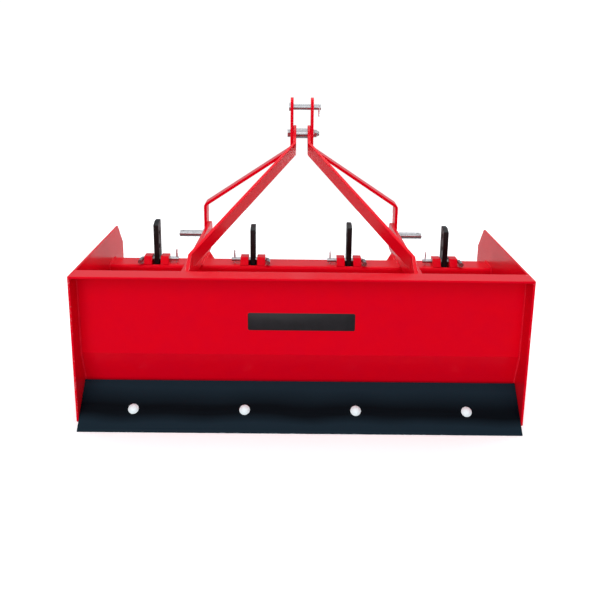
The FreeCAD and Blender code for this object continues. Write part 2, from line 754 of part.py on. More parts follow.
def ripper_shank(number):
    name = "ripper_shank_%d" % (number + 1)
    body = new_body(name)
    front = s.shank_rear + s.shank_deep
    top = getattr(s, "shank_%d_top" % (number + 1))
    outer_drop = s.shank_deep * tangent((sized(90) - s.shank_dip_angle) / 2)
    sketch = new_sketch(body, "YZ_Plane", name + "_side")
    outline(sketch, [
        (s.shank_rear, top - s.shank_top_drop),
        (s.shank_rear, s.shank_bend_high - outer_drop, s.shank_bend + s.shank_deep),
        nose_line(s.nose_long, s.shank_deep),
        nose_line(s.nose_long, ZERO),
        (front, s.shank_bend_high, s.shank_bend),
        (front, top),
        (s.shank_rear + s.shank_top_cut, top),
    ])
    pad(body, sketch, s.shank_thick, name + "_bar", symmetric=True)
    holes = new_sketch(body, "YZ_Plane", name + "_holes")
    for row in range(3):
        circle(holes, s.pin_forward, pin_high + s.hole_pitch * row, s.pin_size + s.pin_play * 2)
    cut_through(body, holes, name + "_hole_cuts")
    place(body, across=shank_place(number))


def ripper_point(number):
    name = "ripper_point_%d" % (number + 1)
    body = new_body(name)
    start = s.nose_long - s.point_cover
    end = s.nose_long + s.point_long
    sketch = new_sketch(body, "YZ_Plane", name + "_side")
    outline(sketch, [
        nose_line(start, -s.point_wall),
        nose_line(start, s.shank_deep + s.point_wall),
        nose_line(s.nose_long, s.shank_deep + s.point_wall),
        nose_line(end, s.shank_deep),
        nose_line(end, s.shank_deep - s.point_lip),
        nose_line(s.nose_long + s.point_wall, -s.point_wall),
    ])
    pad(body, sketch, s.point_wide, name + "_block", symmetric=True)
    socket = new_sketch(body, "YZ_Plane", name + "_socket")
    outline(socket, [
        nose_line(start - 1, -s.point_play),
        nose_line(start - 1, s.shank_deep + s.point_play),
        nose_line(s.nose_long + s.point_play, s.shank_deep + s.point_play),
        nose_line(s.nose_long + s.point_play, -s.point_play),
    ])
    cut_middle(body, socket, s.shank_thick + s.point_play * 2, name + "_socket_cut")
    place(body, across=shank_place(number))


def round_bar(body, name, corners, role, wire):
    """Sweeps a round bar or wire along straight runs with rounded turns, from its first corner."""
    path = new_sketch(body, role, name + "_path")
    outline(path, corners, closed=False)
    if role == "XY_Plane":
        ring = new_sketch(body, "YZ_Plane", name + "_ring", corners[0][0])
    else:
        ring = new_sketch(body, "XY_Plane", name + "_ring", corners[0][1])
    circle(ring, ZERO, ZERO, wire)
    pipe = body.newObject("PartDesign::AdditivePipe", name + "_rod")
    pipe.Profile = ring
    pipe.Spine = path
    ring.Visibility = False
    path.Visibility = False
    return pipe


def shank_pin(number, side):
    name = "shank_pin_%d" % (number + 1)
    body = new_body(name)
    corners = [
        (s.pin_tail * -side, ZERO),
        (s.pin_turn * side, ZERO, s.pin_turn_radius),
        ((s.pin_turn + s.handle_out) * side, -s.handle_back),
    ]
    round_bar(body, name, corners, "XY_Plane", s.pin_size)
    hole = new_sketch(body, "XY_Plane", name + "_clip_hole")
    circle(hole, s.clip_at * -side, ZERO, s.clip_wire + s.clip_play * 2)
    cut_through(body, hole, name + "_clip_cut")
    place(body, shank_place(number), s.pin_forward, pin_high)


def clip(name, across, forward, high, turn):
    """Makes a bent wire clip whose straight leg stands in a pin, with its loop upward."""
    body = new_body(name)
    corners = [
        (ZERO, -s.clip_short),
        (ZERO, s.clip_long, s.clip_bend),
        (s.clip_wide, s.clip_long, s.clip_bend),
        (s.clip_wide, s.clip_wire),
        (s.clip_wide + s.clip_wire, -s.clip_wire),
    ]
    round_bar(body, name, corners, "YZ_Plane", s.clip_wire)
    place(body, across, forward, high, ACROSS, turn)


def hitch_plate(name, side):
    body = new_body(name)
    inside = plate_inside if side > 0 else -s.plate_outside
    sketch = new_sketch(body, "YZ_Plane", name + "_outline", inside)
    outline(sketch, [
        (mold_back, s.plate_rear_low),
        (s.bar_rear, s.bar_top),
        (bar_front, s.bar_top),
        (bar_front, s.plate_heel),
        (bar_front + s.plate_heel_long, s.plate_belly),
        (s.plate_nose, s.plate_belly, s.plate_nose_round),
        (s.plate_nose, s.plate_front_top, s.plate_nose_round),
        (mast_rear, s.plate_front_top),
        (mold_back, s.plate_rear_top),
    ])
    pad(body, sketch, s.plate_thick, name + "_plate")
    hole = new_sketch(body, "YZ_Plane", name + "_pin_hole")
    circle(hole, mast_middle, s.low_pin_high, s.stud_size + s.bolt_play * 2)
    cut_through(body, hole, name + "_pin_cut")
    place(body)


def hitch_gusset(name, side):
    body = new_body(name)
    sketch = new_sketch(body, "XY_Plane", name + "_outline", s.bar_top - s.gusset_below)
    corner = plate_inside * side
    tip = (plate_inside - s.gusset_wide) * side
    reach = (s.plate_nose - bar_front) * s.gusset_reach
    outline(sketch, [(corner, bar_front), (corner, bar_front + reach), (tip, bar_front)])
    pad(body, sketch, s.gusset_thick, name + "_plate", backward=True)
    place(body)


def mast_bar(name, side):
    body = new_body(name)
    outside = (s.plate_outside + s.mast_thick) * side
    top = s.top_pin_high + s.mast_wide / 2
    bottom = s.low_pin_high - s.mast_wide / 2
    sketch = new_sketch(body, "XZ_Plane", name + "_front", -mast_rear)
    folded(sketch, [
        (outside, bottom),
        (outside, s.low_pin_high + s.mast_low_fold_up),
        (s.mast_ear * side, s.top_pin_high - s.mast_high_fold_down),
        (s.mast_ear * side, top),
    ], s.mast_thick, -side)
    pad(body, sketch, s.mast_wide, name + "_flat", backward=True)
    faces = (s.plate_outside + s.mast_thick, s.mast_ear)
    round_folds(body, name, FORWARD, "z", (bottom, top), faces, s.mast_thick)
    holes = new_sketch(body, "YZ_Plane", name + "_holes")
    circle(holes, mast_middle, s.low_pin_high, s.stud_size + s.bolt_play * 2)
    circle(holes, mast_middle, mast_bolt_high, s.mast_bolt_size + s.bolt_play * 2)
    circle(holes, mast_middle, s.top_pin_high, s.top_pin_size + s.bolt_play * 2)
    cut_through(body, holes, name + "_hole_cuts")

    def end_corner(edge):
        high = edge.CenterOfMass.z
        at_end = abs(high - top.value) < 0.01 or abs(high - bottom.value) < 0.01
        return straight_along(edge, ACROSS) and at_end

    round_edges(body, s.mast_round, name + "_ends", end_corner)
    place(body)


def brace(name, side):
    """Makes a brace in a frame whose Y climbs along it to the mast bolt."""
    body = new_body(name)
    sketch = new_sketch(body, "XY_Plane", name + "_flat_outline", -s.brace_wide / 2)
    head_face = mast_ear_inside * side
    foot_face = plate_inside * side
    rise = mast_bolt_high - s.plate_rear_top + s.brace_foot_down
    run = mast_middle - mold_back - s.brace_foot_gap
    slope = slope_of(rise, run)
    long = run / cosine(slope)
    folded(sketch, [
        (foot_face, -long),
        (foot_face, -long + s.brace_foot_long),
        (head_face, -s.brace_head_long),
        (head_face, s.brace_head),
    ], s.brace_thick, -side)
    pad(body, sketch, s.brace_wide, name + "_flat")
    round_folds(body, name, UP, "y", (-long, s.brace_head), (plate_inside, mast_ear_inside), s.brace_thick)
    hole = new_sketch(body, "YZ_Plane", name + "_bolt_hole")
    circle(hole, ZERO, ZERO, s.mast_bolt_size + s.bolt_play * 2)
    cut_through(body, hole, name + "_bolt_cut")

    def head_corner(edge):
        return straight_along(edge, ACROSS) and abs(edge.CenterOfMass.y - s.brace_head.value) < 0.01

    round_edges(body, s.brace_round, name + "_head", head_corner)
    place(body, forward=mast_middle, high=mast_bolt_high, turn=slope)


def lower_hitch_pin(name, side):
    """Makes a lower hitch pin along its own X, with its shoulder on the mast bar."""
    body = new_body(name)
    seat = s.plate_outside + s.mast_thick
    shoulder = s.low_pin_spread / 2
    tip = shoulder + s.low_pin_long
    stud = plate_inside - s.low_nut_high - s.stud_past
    radius = s.low_pin_size / 2
    sketch = new_sketch(body, "XZ_Plane", name + "_section")
    outline(sketch, [
        (stud, ZERO),
        (tip, ZERO),
        (tip, radius - s.low_pin_edge),
        (tip - s.low_pin_edge, radius),
        (shoulder, radius),
        (shoulder, s.collar_size / 2),
        (seat, s.collar_size / 2),
        (seat, s.stud_size / 2),
        (stud, s.stud_size / 2),
    ])
    turned = body.newObject("PartDesign::Revolution", name + "_turned")
    turned.Profile = sketch
    turned.ReferenceAxis = (sketch, ["H_Axis"])
    hole = new_sketch(body, "XY_Plane", name + "_linch_hole")
    circle(hole, tip - s.linch_in, ZERO, s.linch_size)
    cut_through(body, hole, name + "_linch_cut")
    turn = ZERO if side > 0 else sized(180)
    place(body, ZERO, mast_middle, s.low_pin_high, UP, turn)


def lower_pin_nut(name, side):
    body = new_body(name)
    inner = plate_inside - s.low_nut_high if side > 0 else -plate_inside
    sketch = new_sketch(body, "YZ_Plane", name + "_hexagon", inner)
    hexagon(sketch, s.low_nut_wide)
    circle(sketch, ZERO, ZERO, s.stud_size + s.bolt_play * 2)
    pad(body, sketch, s.low_nut_high, name + "_hex")
    place(body, ZERO, mast_middle, s.low_pin_high)


def top_link_pin():
    body = new_body("top_link_pin")
    head = new_sketch(body, "YZ_Plane", "top_pin_head_circle", -s.mast_ear)
    circle(head, ZERO, ZERO, s.top_head_size)
    pad(body, head, s.top_head_thick, "top_pin_head", backward=True)
    rod = new_sketch(body, "YZ_Plane", "top_pin_circle", -s.mast_ear)
    circle(rod, ZERO, ZERO, s.top_pin_size)
    pad(body, rod, s.mast_ear * 2 + s.top_pin_tail, "top_pin_rod")
    hole = new_sketch(body, "XY_Plane", "top_pin_clip_hole")
    circle(hole, s.mast_ear + s.top_pin_tail - s.top_clip_in, ZERO, s.clip_wire + s.clip_play * 2)
    cut_through(body, hole, "top_pin_clip_cut")
    place(body, ZERO, mast_middle, s.top_pin_high)


def mast_bolt():
    body = new_body("mast_bolt")
    head = new_sketch(body, "YZ_Plane", "mast_bolt_head_hexagon", -s.mast_ear)
    hexagon(head, s.mast_nut_wide)
    pad(body, head, s.mast_head_high, "mast_bolt_head", backward=True)
    rod = new_sketch(body, "YZ_Plane", "mast_bolt_circle", -s.mast_ear)
    circle(rod, ZERO, ZERO, s.mast_bolt_size)
    pad(body, rod, s.mast_ear * 2 + s.mast_nut_high + s.mast_thread_past, "mast_bolt_rod")
    nut = new_sketch(body, "YZ_Plane", "mast_bolt_nut_hexagon", s.mast_ear)
    hexagon(nut, s.mast_nut_wide)
    pad(body, nut, s.mast_nut_high, "mast_bolt_nut")
    place(body, ZERO, mast_middle, mast_bolt_high)


def mast_spacer():
    body = new_body("mast_spacer")
    sketch = new_sketch(body, "YZ_Plane", "mast_spacer_ring")
    circle(sketch, ZERO, ZERO, s.spacer_size)
    circle(sketch, ZERO, ZERO, s.mast_bolt_size + s.bolt_play * 2)
    long = (mast_ear_inside - s.brace_thick) * 2
    pad(body, sketch, long, "mast_spacer_tube", symmetric=True)
    place(body, ZERO, mast_middle, mast_bolt_high)


def build():
    for word, side in SIDES:
        side_plate("side_plate_" + word, side)
    moldboard()
    front_curve_plate()
    rear_cutting_edge()
    front_cutting_edge()
    edge_bolts("rear_edge_bolts", rear_line(s.edge_bolt_up, ZERO), s.rear_slope_angle)
    edge_bolts("front_edge_bolts", front_line(s.edge_bolt_up, s.edge_thick), -s.front_slope_angle)
    toolbar()
    for number in SHANKS:
        side = HANDLE_SIDES[number]
        shank_holder(number)
        ripper_shank(number)
        ripper_point(number)
        shank_pin(number, side)
        across = shank_place(number) - s.clip_at * side
        clip("pin_clip_%d" % (number + 1), across, s.pin_forward, pin_high, ZERO)
    for word, side in SIDES:
        hitch_plate("hitch_plate_" + word, side)
        hitch_gusset("hitch_gusset_" + word, side)
        mast_bar("mast_bar_" + word, side)
        brace("brace_" + word, side)
        lower_hitch_pin("lower_hitch_pin_" + word, side)
        lower_pin_nut("lower_pin_nut_" + word, side)
    top_link_pin()
    clip_across = s.mast_ear + s.top_pin_tail - s.top_clip_in
    clip("top_pin_clip", clip_across, mast_middle, s.top_pin_high, sized(180))
    mast_bolt()
    mast_spacer()
    doc.recompute()


def check():
    """Stops if any object failed or any piece is empty or broken."""
    for item in doc.Objects:
        if "Invalid" in item.State or "Error" in item.State:
            raise RuntimeError("%s failed: %s" % (item.Label, item.State))
    for piece in pieces:
        if piece.Shape.isNull() or not piece.Shape.isValid() or not piece.Shape.Solids:
            raise RuntimeError("%s has no sound shape" % piece.Label)


def export():
    os.makedirs("parts", exist_ok=True)
    for piece in pieces:
        piece.Shape.exportStep("parts/%s.step" % piece.Label)


build()
check()
export()
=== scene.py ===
"""Paint, steel, welds and small hardware of a rear-mounted box blade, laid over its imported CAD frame."""

import logging
import math
import random
from dataclasses import dataclass
from enum import Enum
from typing import Callable, Sequence, Union

import bpy
from mathutils import Matrix, Vector


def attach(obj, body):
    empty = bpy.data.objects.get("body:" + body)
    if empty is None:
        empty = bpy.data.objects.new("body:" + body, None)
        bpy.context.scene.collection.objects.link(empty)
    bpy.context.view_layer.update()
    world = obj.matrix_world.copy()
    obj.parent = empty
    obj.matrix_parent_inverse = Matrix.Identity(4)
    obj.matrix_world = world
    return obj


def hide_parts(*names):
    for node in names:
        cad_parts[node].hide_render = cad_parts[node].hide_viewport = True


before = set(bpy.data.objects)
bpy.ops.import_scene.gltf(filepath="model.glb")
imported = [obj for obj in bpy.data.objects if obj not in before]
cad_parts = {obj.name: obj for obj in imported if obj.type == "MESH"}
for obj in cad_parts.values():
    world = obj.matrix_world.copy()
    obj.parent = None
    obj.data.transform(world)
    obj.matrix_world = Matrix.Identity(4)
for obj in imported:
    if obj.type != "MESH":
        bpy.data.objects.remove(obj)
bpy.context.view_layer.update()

LOG = logging.getLogger("box_blade")

MM = 0.001
REAR_EDGE = -354.5  # where the side plates' rear edge stands along the row's Y, in mm
SIDES = (("left", -1), ("right", 1))
SAME_PLACE = 1e-6  # corners nearer than this are one, in metres
SAME_PLANE = 0.6  # faces that turn by less than this are one, in degrees
SHARP_TURN = 40.0  # edges that turn by more than this are softened, in degrees
FLAT_WEIGHT = 90  # how strongly large faces keep their own shading beside softened edges
Point = tuple[float, float, float]
Amount = Union[float, Sequence[float]]
Rings = Sequence[tuple[Amount, Amount]]
WHITE = (1.0, 1.0, 1.0, 1.0)


def row_point(point: Sequence[float]) -> Vector:
    """Turns a point in the box's millimetres into the row's metres.

    Args:
        point: x across, y forward of the side plates' rear edge and z up, in mm.

    Returns:
        The same point in the row frame, in metres.
    """
    return Vector((point[0], point[1] + REAR_EDGE, point[2])) * MM


def slope_point(origin: Sequence[float], angle: float, along: float, out: float) -> tuple[float, float]:
    """Gives a point measured along a slope and out from it, seen from the side.

    Args:
        origin: y and z where the slope starts, in mm.
        angle: the slope above level, in degrees.
        along: distance up the slope, in mm.
        out: distance out from its upper face, in mm.

    Returns:
        The point's y and z, in mm.
    """
    cosine, sine = math.cos(math.radians(angle)), math.sin(math.radians(angle))
    return origin[0] + along * cosine - out * sine, origin[1] + along * sine + out * cosine


def rounded_outline(middle: Sequence[float], half: Sequence[float], radius: float,
                    spans: int) -> list[tuple[float, float]]:
    """Gives the outline of a rectangle with rounded corners.

    Args:
        middle: its middle, across and up.
        half: half its width and half its height.
        radius: the radius of its corners.
        spans: spans in each corner's arc.

    Returns:
        Its points, each across and up, in order round it.
    """
    outline = []
    for corner, (across, up) in enumerate(((1, 1), (-1, 1), (-1, -1), (1, -1))):
        for k in range(spans + 1):
            turn = math.radians(90 * corner + 90 / spans * k)
            outline.append((middle[0] + across * (half[0] - radius) + radius * math.cos(turn),
                            middle[1] + up * (half[1] - radius) + radius * math.sin(turn)))
    return outline


def add_object(name: str, data: bpy.types.ID) -> bpy.types.Object:
    """Makes an object and puts it in the scene.

    Args:
        name: its name.
        data: its mesh, light or camera.

    Returns:
        The object.
    """
    made = bpy.data.objects.new(name, data)
    bpy.context.scene.collection.objects.link(made)
    return made


class Slot(Enum):
    """The record's material slots."""

    RED_PAINT = "red_paint"
    EDGE_STEEL = "edge_steel"
    SHANK_BLACK = "shank_black"
    ZINC = "zinc"
    CLIP_ZINC = "clip_zinc"
    BOLT_ZINC = "bolt_zinc"


class Wiring:
    """Adds nodes to one tree and joins their sockets."""

    def __init__(self, tree: bpy.types.NodeTree) -> None:
        """Takes the tree that the nodes go into."""
        self.tree = tree

    def add(self, kind: str, **settings: object) -> bpy.types.Node:
        """Adds a node.

        Args:
            kind: the node's type, without its "ShaderNode" prefix.
            settings: attributes to set on it.

        Returns:
            The new node.
        """
        prefix = "" if kind.startswith("NodeGroup") else "ShaderNode"
        node = self.tree.nodes.new(prefix + kind)
        for name, value in settings.items():
            setattr(node, name, value)
        return node

    def feed(self, node: bpy.types.Node, socket: str, value: object) -> None:
        """Sets an input, or links it where the value is another node's output.

        Args:
            node: the node whose input it is.
            socket: the input's name or index.
            value: a number, a colour or an output socket.
        """
        if isinstance(value, bpy.types.NodeSocket):
            self.tree.links.new(value, node.inputs[socket])
        else:
            node.inputs[socket].default_value = value

    def math(self, operation: str, first: object, second: object = 0.0) -> bpy.types.NodeSocket:
        """Adds a Math node.

        Args:
            operation: its operation.
            first: its first value or an output to read.
            second: its second value or an output to read.

        Returns:
            Its output.
        """
        node = self.add("Math", operation=operation)
        self.feed(node, 0, first)
        self.feed(node, 1, second)
        return node.outputs[0]

    def spread(self, value: object, low: float, high: float, to_low: float,
               to_high: float) -> bpy.types.NodeSocket:
        """Maps a value from one range to another, clamped.

        Args:
            value: the output to read.
            low: start of its range.
            high: end of its range.
            to_low: result at the start.
            to_high: result at the end.

        Returns:
            The mapped value.
        """
        node = self.add("MapRange")
        for socket, number in (("Value", value), ("From Min", low), ("From Max", high),
                               ("To Min", to_low), ("To Max", to_high)):
            self.feed(node, socket, number)
        return node.outputs[0]

    def blend(self, share: object, first: object, second: object) -> bpy.types.NodeSocket:
        """Mixes two colours.

        Args:
            share: how much of the second one shows.
            first: a colour or an output.
            second: a colour or an output.

        Returns:
            The mixed colour.
        """
        node = self.add("Mix", data_type="RGBA")
        self.feed(node, "Factor", share)
        self.feed(node, 6, first)
        self.feed(node, 7, second)
        return node.outputs[2]

    def grain(self, place: object, scale: object, detail: float = 2.0,
              rough: float = 0.5) -> bpy.types.NodeSocket:
        """Adds a noise texture.

        Args:
            place: the coordinates to read.
            scale: the noise's scale.
            detail: its octaves.
            rough: its roughness.

        Returns:
            Its value.
        """
        node = self.add("TexNoise")
        for socket, value in (("Vector", place), ("Scale", scale), ("Detail", detail), ("Roughness", rough)):
            self.feed(node, socket, value)
        return node.outputs[0]

    def here(self) -> bpy.types.NodeSocket:
        """Gives the point being shaded, in the object's own metres."""
        return self.add("TexCoord").outputs["Object"]

    def along(self, axis: str) -> bpy.types.NodeSocket:
        """Gives one coordinate of the point being shaded, by its letter."""
        parts = self.add("SeparateXYZ")
        self.feed(parts, 0, self.here())
        return parts.outputs[axis]

    def show_apart(self, output: bpy.types.Node, seen: bpy.types.Node, mirrored: bpy.types.Node) -> None:
        """Shows one shader to the camera and another to all other rays.

        Args:
            output: the tree's output node.
            seen: what the camera meets.
            mirrored: what gloss and light meet.
        """
        choice = self.add("MixShader")
        self.feed(choice, 0, self.add("LightPath").outputs["Is Camera Ray"])
        self.feed(choice, 1, mirrored.outputs[0])
        self.feed(choice, 2, seen.outputs[0])
        self.feed(output, "Surface", choice.outputs[0])

    def group(self, effect: "Effect", **values: object) -> bpy.types.Node:
        """Places a shared effect.

        Args:
            effect: which one.
            values: its inputs by name, with _ for a space.

        Returns:
            The group node.
        """
        node = self.add("Group", node_tree=effect.tree())
        for name, value in values.items():
            self.feed(node, name.replace("_", " "), value)
        return node


class Effect(Enum):
    """Surface effects that more than one finish uses, each a node group built once."""

    COAT_TEXTURE = "coat_texture"
    CHIPPED_EDGE = "chipped_edge"
    DRAWN_STREAKS = "drawn_streaks"
    PLATED_BLOOM = "plated_bloom"

    def tree(self) -> bpy.types.NodeTree:
        """Gives the effect's node group, building it the first time."""
        made = bpy.data.node_groups.get(self.value)
        return made or EffectMaker.make(self)


class EffectMaker:
    """Builds the shared node groups."""

    @classmethod
    def make(cls, effect: Effect) -> bpy.types.NodeTree:
        """Builds one group.

        Args:
            effect: which one; the method of that name wires it.

        Returns:
            Its tree.
        """
        tree = bpy.data.node_groups.new(effect.value, "ShaderNodeTree")
        getattr(cls, effect.value)(tree)
        return tree

    @staticmethod
    def sockets(tree: bpy.types.NodeTree, inputs: dict[str, float], outputs: Sequence[str]) -> tuple:
        """Makes a group's sockets.

        Args:
            tree: the group.
            inputs: each input's name and usual value.
            outputs: the names of its outputs.

        Returns:
            Its wiring, its input node and its output node.
        """
        for name, value in inputs.items():
            socket = tree.interface.new_socket(name=name, in_out="INPUT", socket_type="NodeSocketFloat")
            socket.default_value = value
        for name in outputs:
            tree.interface.new_socket(name=name, in_out="OUTPUT", socket_type="NodeSocketFloat")
        wiring = Wiring(tree)
        return wiring, wiring.add("NodeGroupInput"), wiring.add("NodeGroupOutput")

    @classmethod
    def coat_texture(cls, tree: bpy.types.NodeTree) -> None:
        """Builds sprayed powder's fine peel over a sheet that isn't quite flat, and its faint mottle.

        Args:
            tree: the empty group.
        """
        names = {"Peel Scale": 420.0, "Peel Height": 0.3, "Wave Scale": 7.0, "Wave Height": 0.5}
        wiring, given, out = cls.sockets(tree, names, ("Height", "Mottle"))
        place = wiring.here()
        peel = wiring.math("MULTIPLY", wiring.grain(place, given.outputs["Peel Scale"]),
                           given.outputs["Peel Height"])
        wave = wiring.math("MULTIPLY", wiring.grain(place, given.outputs["Wave Scale"], 1.0),
                           given.outputs["Wave Height"])
        wiring.feed(out, "Height", wiring.math("ADD", peel, wave))
        mottle = wiring.grain(place, 23.0, 6.0, 0.62)
        wiring.feed(out, "Mottle", wiring.spread(mottle, 0.32, 0.68, 0.0, 1.0))

    @classmethod
    def chipped_edge(cls, tree: bpy.types.NodeTree) -> None:
        """Builds small chips that thin out away from an edge.

        Args:
            tree: the empty group.
        """
        names = {"Distance": 0.0, "Reach": 0.003, "Chip Scale": 320.0, "Amount": 0.5}
        wiring, given, out = cls.sockets(tree, names, ("Mask",))
        near = wiring.math("DIVIDE", given.outputs["Distance"], given.outputs["Reach"])
        fading = wiring.spread(near, 0.0, 1.0, 1.0, 0.0)
        place = wiring.here()
        flecks = wiring.grain(place, given.outputs["Chip Scale"], 3.0, 0.6)
        patches = wiring.spread(wiring.grain(place, 14.0, 2.0), 0.42, 0.62, 0.0, 0.22)
        level = wiring.math("MULTIPLY", wiring.math("ADD", flecks, patches), fading)
        least = wiring.math("SUBTRACT", 0.86, wiring.math("MULTIPLY", given.outputs["Amount"], 0.4))
        cut = wiring.math("SUBTRACT", level, least)
        wiring.feed(out, "Mask", wiring.spread(cut, 0.0, 0.05, 0.0, 1.0))

    @classmethod
    def drawn_streaks(cls, tree: bpy.types.NodeTree) -> None:
        """Builds long thin streaks across the box, as rolled and rubbed steel has.

        Args:
            tree: the empty group.
        """
        names = {"Fineness": 90.0, "Stretch": 0.05}
        wiring, given, out = cls.sockets(tree, names, ("Mask", "Cloud"))
        parts = wiring.add("SeparateXYZ")
        wiring.feed(parts, 0, wiring.here())
        joined = wiring.add("CombineXYZ")
        wiring.feed(joined, 0, wiring.math("MULTIPLY", parts.outputs[0], given.outputs["Stretch"]))
        wiring.feed(joined, 1, parts.outputs[1])
        wiring.feed(joined, 2, parts.outputs[2])
        streaks = wiring.grain(joined.outputs[0], given.outputs["Fineness"], 5.0, 0.7)
        wiring.feed(out, "Mask", wiring.spread(streaks, 0.35, 0.7, 0.0, 1.0))
        cloud = wiring.grain(wiring.here(), 5.0, 3.0, 0.6)
        wiring.feed(out, "Cloud", wiring.spread(cloud, 0.35, 0.65, 0.0, 1.0))

    @classmethod
    def plated_bloom(cls, tree: bpy.types.NodeTree) -> None:
        """Builds the cloudy bloom and fine tumbled pits of zinc plating.

        Args:
            tree: the empty group.
        """
        names = {"Bloom Scale": 38.0, "Pit Scale": 900.0}
        wiring, given, out = cls.sockets(tree, names, ("Bloom", "Height"))
        place = wiring.here()
        bloom = wiring.grain(place, given.outputs["Bloom Scale"], 4.0, 0.65)
        wiring.feed(out, "Bloom", wiring.spread(bloom, 0.35, 0.65, 0.0, 1.0))
        wiring.feed(out, "Height", wiring.grain(place, given.outputs["Pit Scale"], 2.0))


@dataclass(frozen=True)
class Finish:
    """A named surface that can be made into a material."""

    name: str
    slot: Slot

    def material(self) -> bpy.types.Material:
        """Gives the finish's material, building it the first time.

        Returns:
            The material.
        """
        made = bpy.data.materials.get(self.name)
        if made:
            return made
        made = bpy.data.materials.new(self.name)
        made.use_nodes = True
        self.dress(Wiring(made.node_tree), made.node_tree.nodes["Principled BSDF"])
        return made

    def dress(self, wiring: Wiring, surface: bpy.types.Node) -> None:
        """Wires the finish into a Principled shader; each finish has its own way."""
        raise NotImplementedError

    @staticmethod
    def bump(wiring: Wiring, surface: bpy.types.Node, height: object, strength: float,
             distance: float) -> None:
        """Raises the surface by a height.

        Args:
            wiring: the material's wiring.
            surface: its shader.
            height: the output that gives the height.
            strength: the Bump node's strength.
            distance: the height's size, in metres.
        """
        node = wiring.add("Bump")
        wiring.feed(node, "Height", height)
        wiring.feed(node, "Strength", strength)
        wiring.feed(node, "Distance", distance)
        wiring.feed(surface, "Normal", node.outputs[0])


@dataclass(frozen=True)
class PowderCoat(Finish):
    """Glossy red powder coat on sheet and bar, chipped along the edges that get knocked."""

    red: tuple = (0.78, 0.0003, 0.0105, 1.0)
    deep_red: tuple = (0.745, 0.0002, 0.0130, 1.0)
    primer: tuple = (0.56, 0.24, 0.27, 1.0)
    chipped: bool = False
    peel_height: float = 0.06
    rough_low: float = 0.16
    rough_high: float = 0.27
    chip_rough: float = 0.4
    tint: tuple = (0.95, 0.03, 0.05, 1.0)
    specular: float = 0.28
    clear_coat: float = 0.03
    clear_rough: float = 0.07

    def dress(self, wiring: Wiring, surface: bpy.types.Node) -> None:
        """Wires the coat's colour, gloss and texture, and its chips where it has them.

        Args:
            wiring: the material's wiring.
            surface: its Principled shader.
        """
        coat = wiring.group(Effect.COAT_TEXTURE, Peel_Height=self.peel_height)
        mottle = coat.outputs["Mottle"]
        colour = wiring.blend(mottle, self.red, self.deep_red)
        gloss = wiring.spread(mottle, 0.0, 1.0, self.rough_low, self.rough_high)
        if self.chipped:
            chips = self.chip_mask(wiring)
            colour = wiring.blend(chips, colour, self.primer)
            gloss = wiring.math("ADD", gloss, wiring.math("MULTIPLY", chips, self.chip_rough))
        wiring.feed(surface, "Base Color", colour)
        wiring.feed(surface, "Roughness", gloss)
        wiring.feed(surface, "Specular Tint", self.tint)
        wiring.feed(surface, "Specular IOR Level", self.specular)
        wiring.feed(surface, "Coat Weight", self.clear_coat)
        wiring.feed(surface, "Coat Roughness", self.clear_rough)
        self.bump(wiring, surface, coat.outputs["Height"], 0.25, 0.0006)

    def chip_mask(self, wiring: Wiring) -> bpy.types.NodeSocket:
        """Gives the chips along the plates' rear and top edges.

        Args:
            wiring: the material's wiring.

        Returns:
            The mask.
        """
        from_rear = wiring.math("ABSOLUTE", wiring.math("SUBTRACT", wiring.along("Y"), REAR_EDGE * MM))
        from_top = wiring.math("ABSOLUTE", wiring.math("SUBTRACT", wiring.along("Z"), BoxShell.lip_top * MM))
        rear = wiring.group(Effect.CHIPPED_EDGE, Distance=from_rear, Reach=0.0026, Amount=0.22)
        top = wiring.group(Effect.CHIPPED_EDGE, Distance=from_top, Reach=0.0014, Amount=0.15)
        return wiring.math("MAXIMUM", rear.outputs[0], top.outputs[0])


@dataclass(frozen=True)
class EdgeSteel(Finish):
    """Dark blue-black paint on a rolled steel edge, with a painted reflection that makes it paler above and
    below, rubbed bright along its lip.
    """

    paint: tuple = (0.0006, 0.0014, 0.0032, 1.0)
    # paler blue-black, used for the painted reflection bands and for the streaks
    reflection_and_streak_blue: tuple = (0.0085, 0.0190, 0.0290, 1.0)
    bare: tuple = (0.16, 0.19, 0.21, 1.0)
    upper_reflection_band: tuple = (0.050, 0.086)
    lower_reflection_band: tuple = (0.018, 0.036)
    wander: float = 0.02
    streak_share: float = 0.12
    specular: float = 0.04

    def dress(self, wiring: Wiring, surface: bpy.types.Node) -> None:
        """Wires the painted reflection bands, the streaks, its soft gloss and the rubbed lip.

        Args:
            wiring: the material's wiring.
            surface: its Principled shader.
        """
        streaks = wiring.group(Effect.DRAWN_STREAKS, Fineness=70.0, Stretch=0.04)
        up = wiring.along("Z")
        rubbed = wiring.group(Effect.CHIPPED_EDGE, Distance=up, Reach=0.0045, Chip_Scale=120.0, Amount=0.8)
        drift = wiring.math("SUBTRACT", wiring.grain(wiring.here(), 5.0, 1.0), 0.5)
        high = wiring.math("ADD", up, wiring.math("MULTIPLY", drift, self.wander))
        # painted reflection: paler paint in a band near the top and one near the tip, standing in for the
        # bright room mirrored in the gloss
        pale = wiring.math("MAXIMUM", wiring.spread(high, *self.upper_reflection_band, 0.0, 1.0),
                           wiring.spread(high, *self.lower_reflection_band, 1.0, 0.0))
        colour = wiring.blend(pale, self.paint, self.reflection_and_streak_blue)
        streaked = wiring.math("MULTIPLY", streaks.outputs["Mask"], self.streak_share)
        colour = wiring.blend(streaked, colour, self.reflection_and_streak_blue)
        wiring.feed(surface, "Base Color", wiring.blend(rubbed.outputs[0], colour, self.bare))
        wiring.feed(surface, "Roughness", wiring.spread(streaks.outputs["Mask"], 0.0, 1.0, 0.30, 0.36))
        wiring.feed(surface, "Metallic", wiring.math("MULTIPLY", rubbed.outputs[0], 0.8))
        wiring.feed(surface, "Specular IOR Level", self.specular)
        coat = wiring.group(Effect.COAT_TEXTURE, Peel_Scale=300.0, Peel_Height=0.5, Wave_Height=0.3)
        self.bump(wiring, surface, coat.outputs["Height"], 0.4, 0.0006)


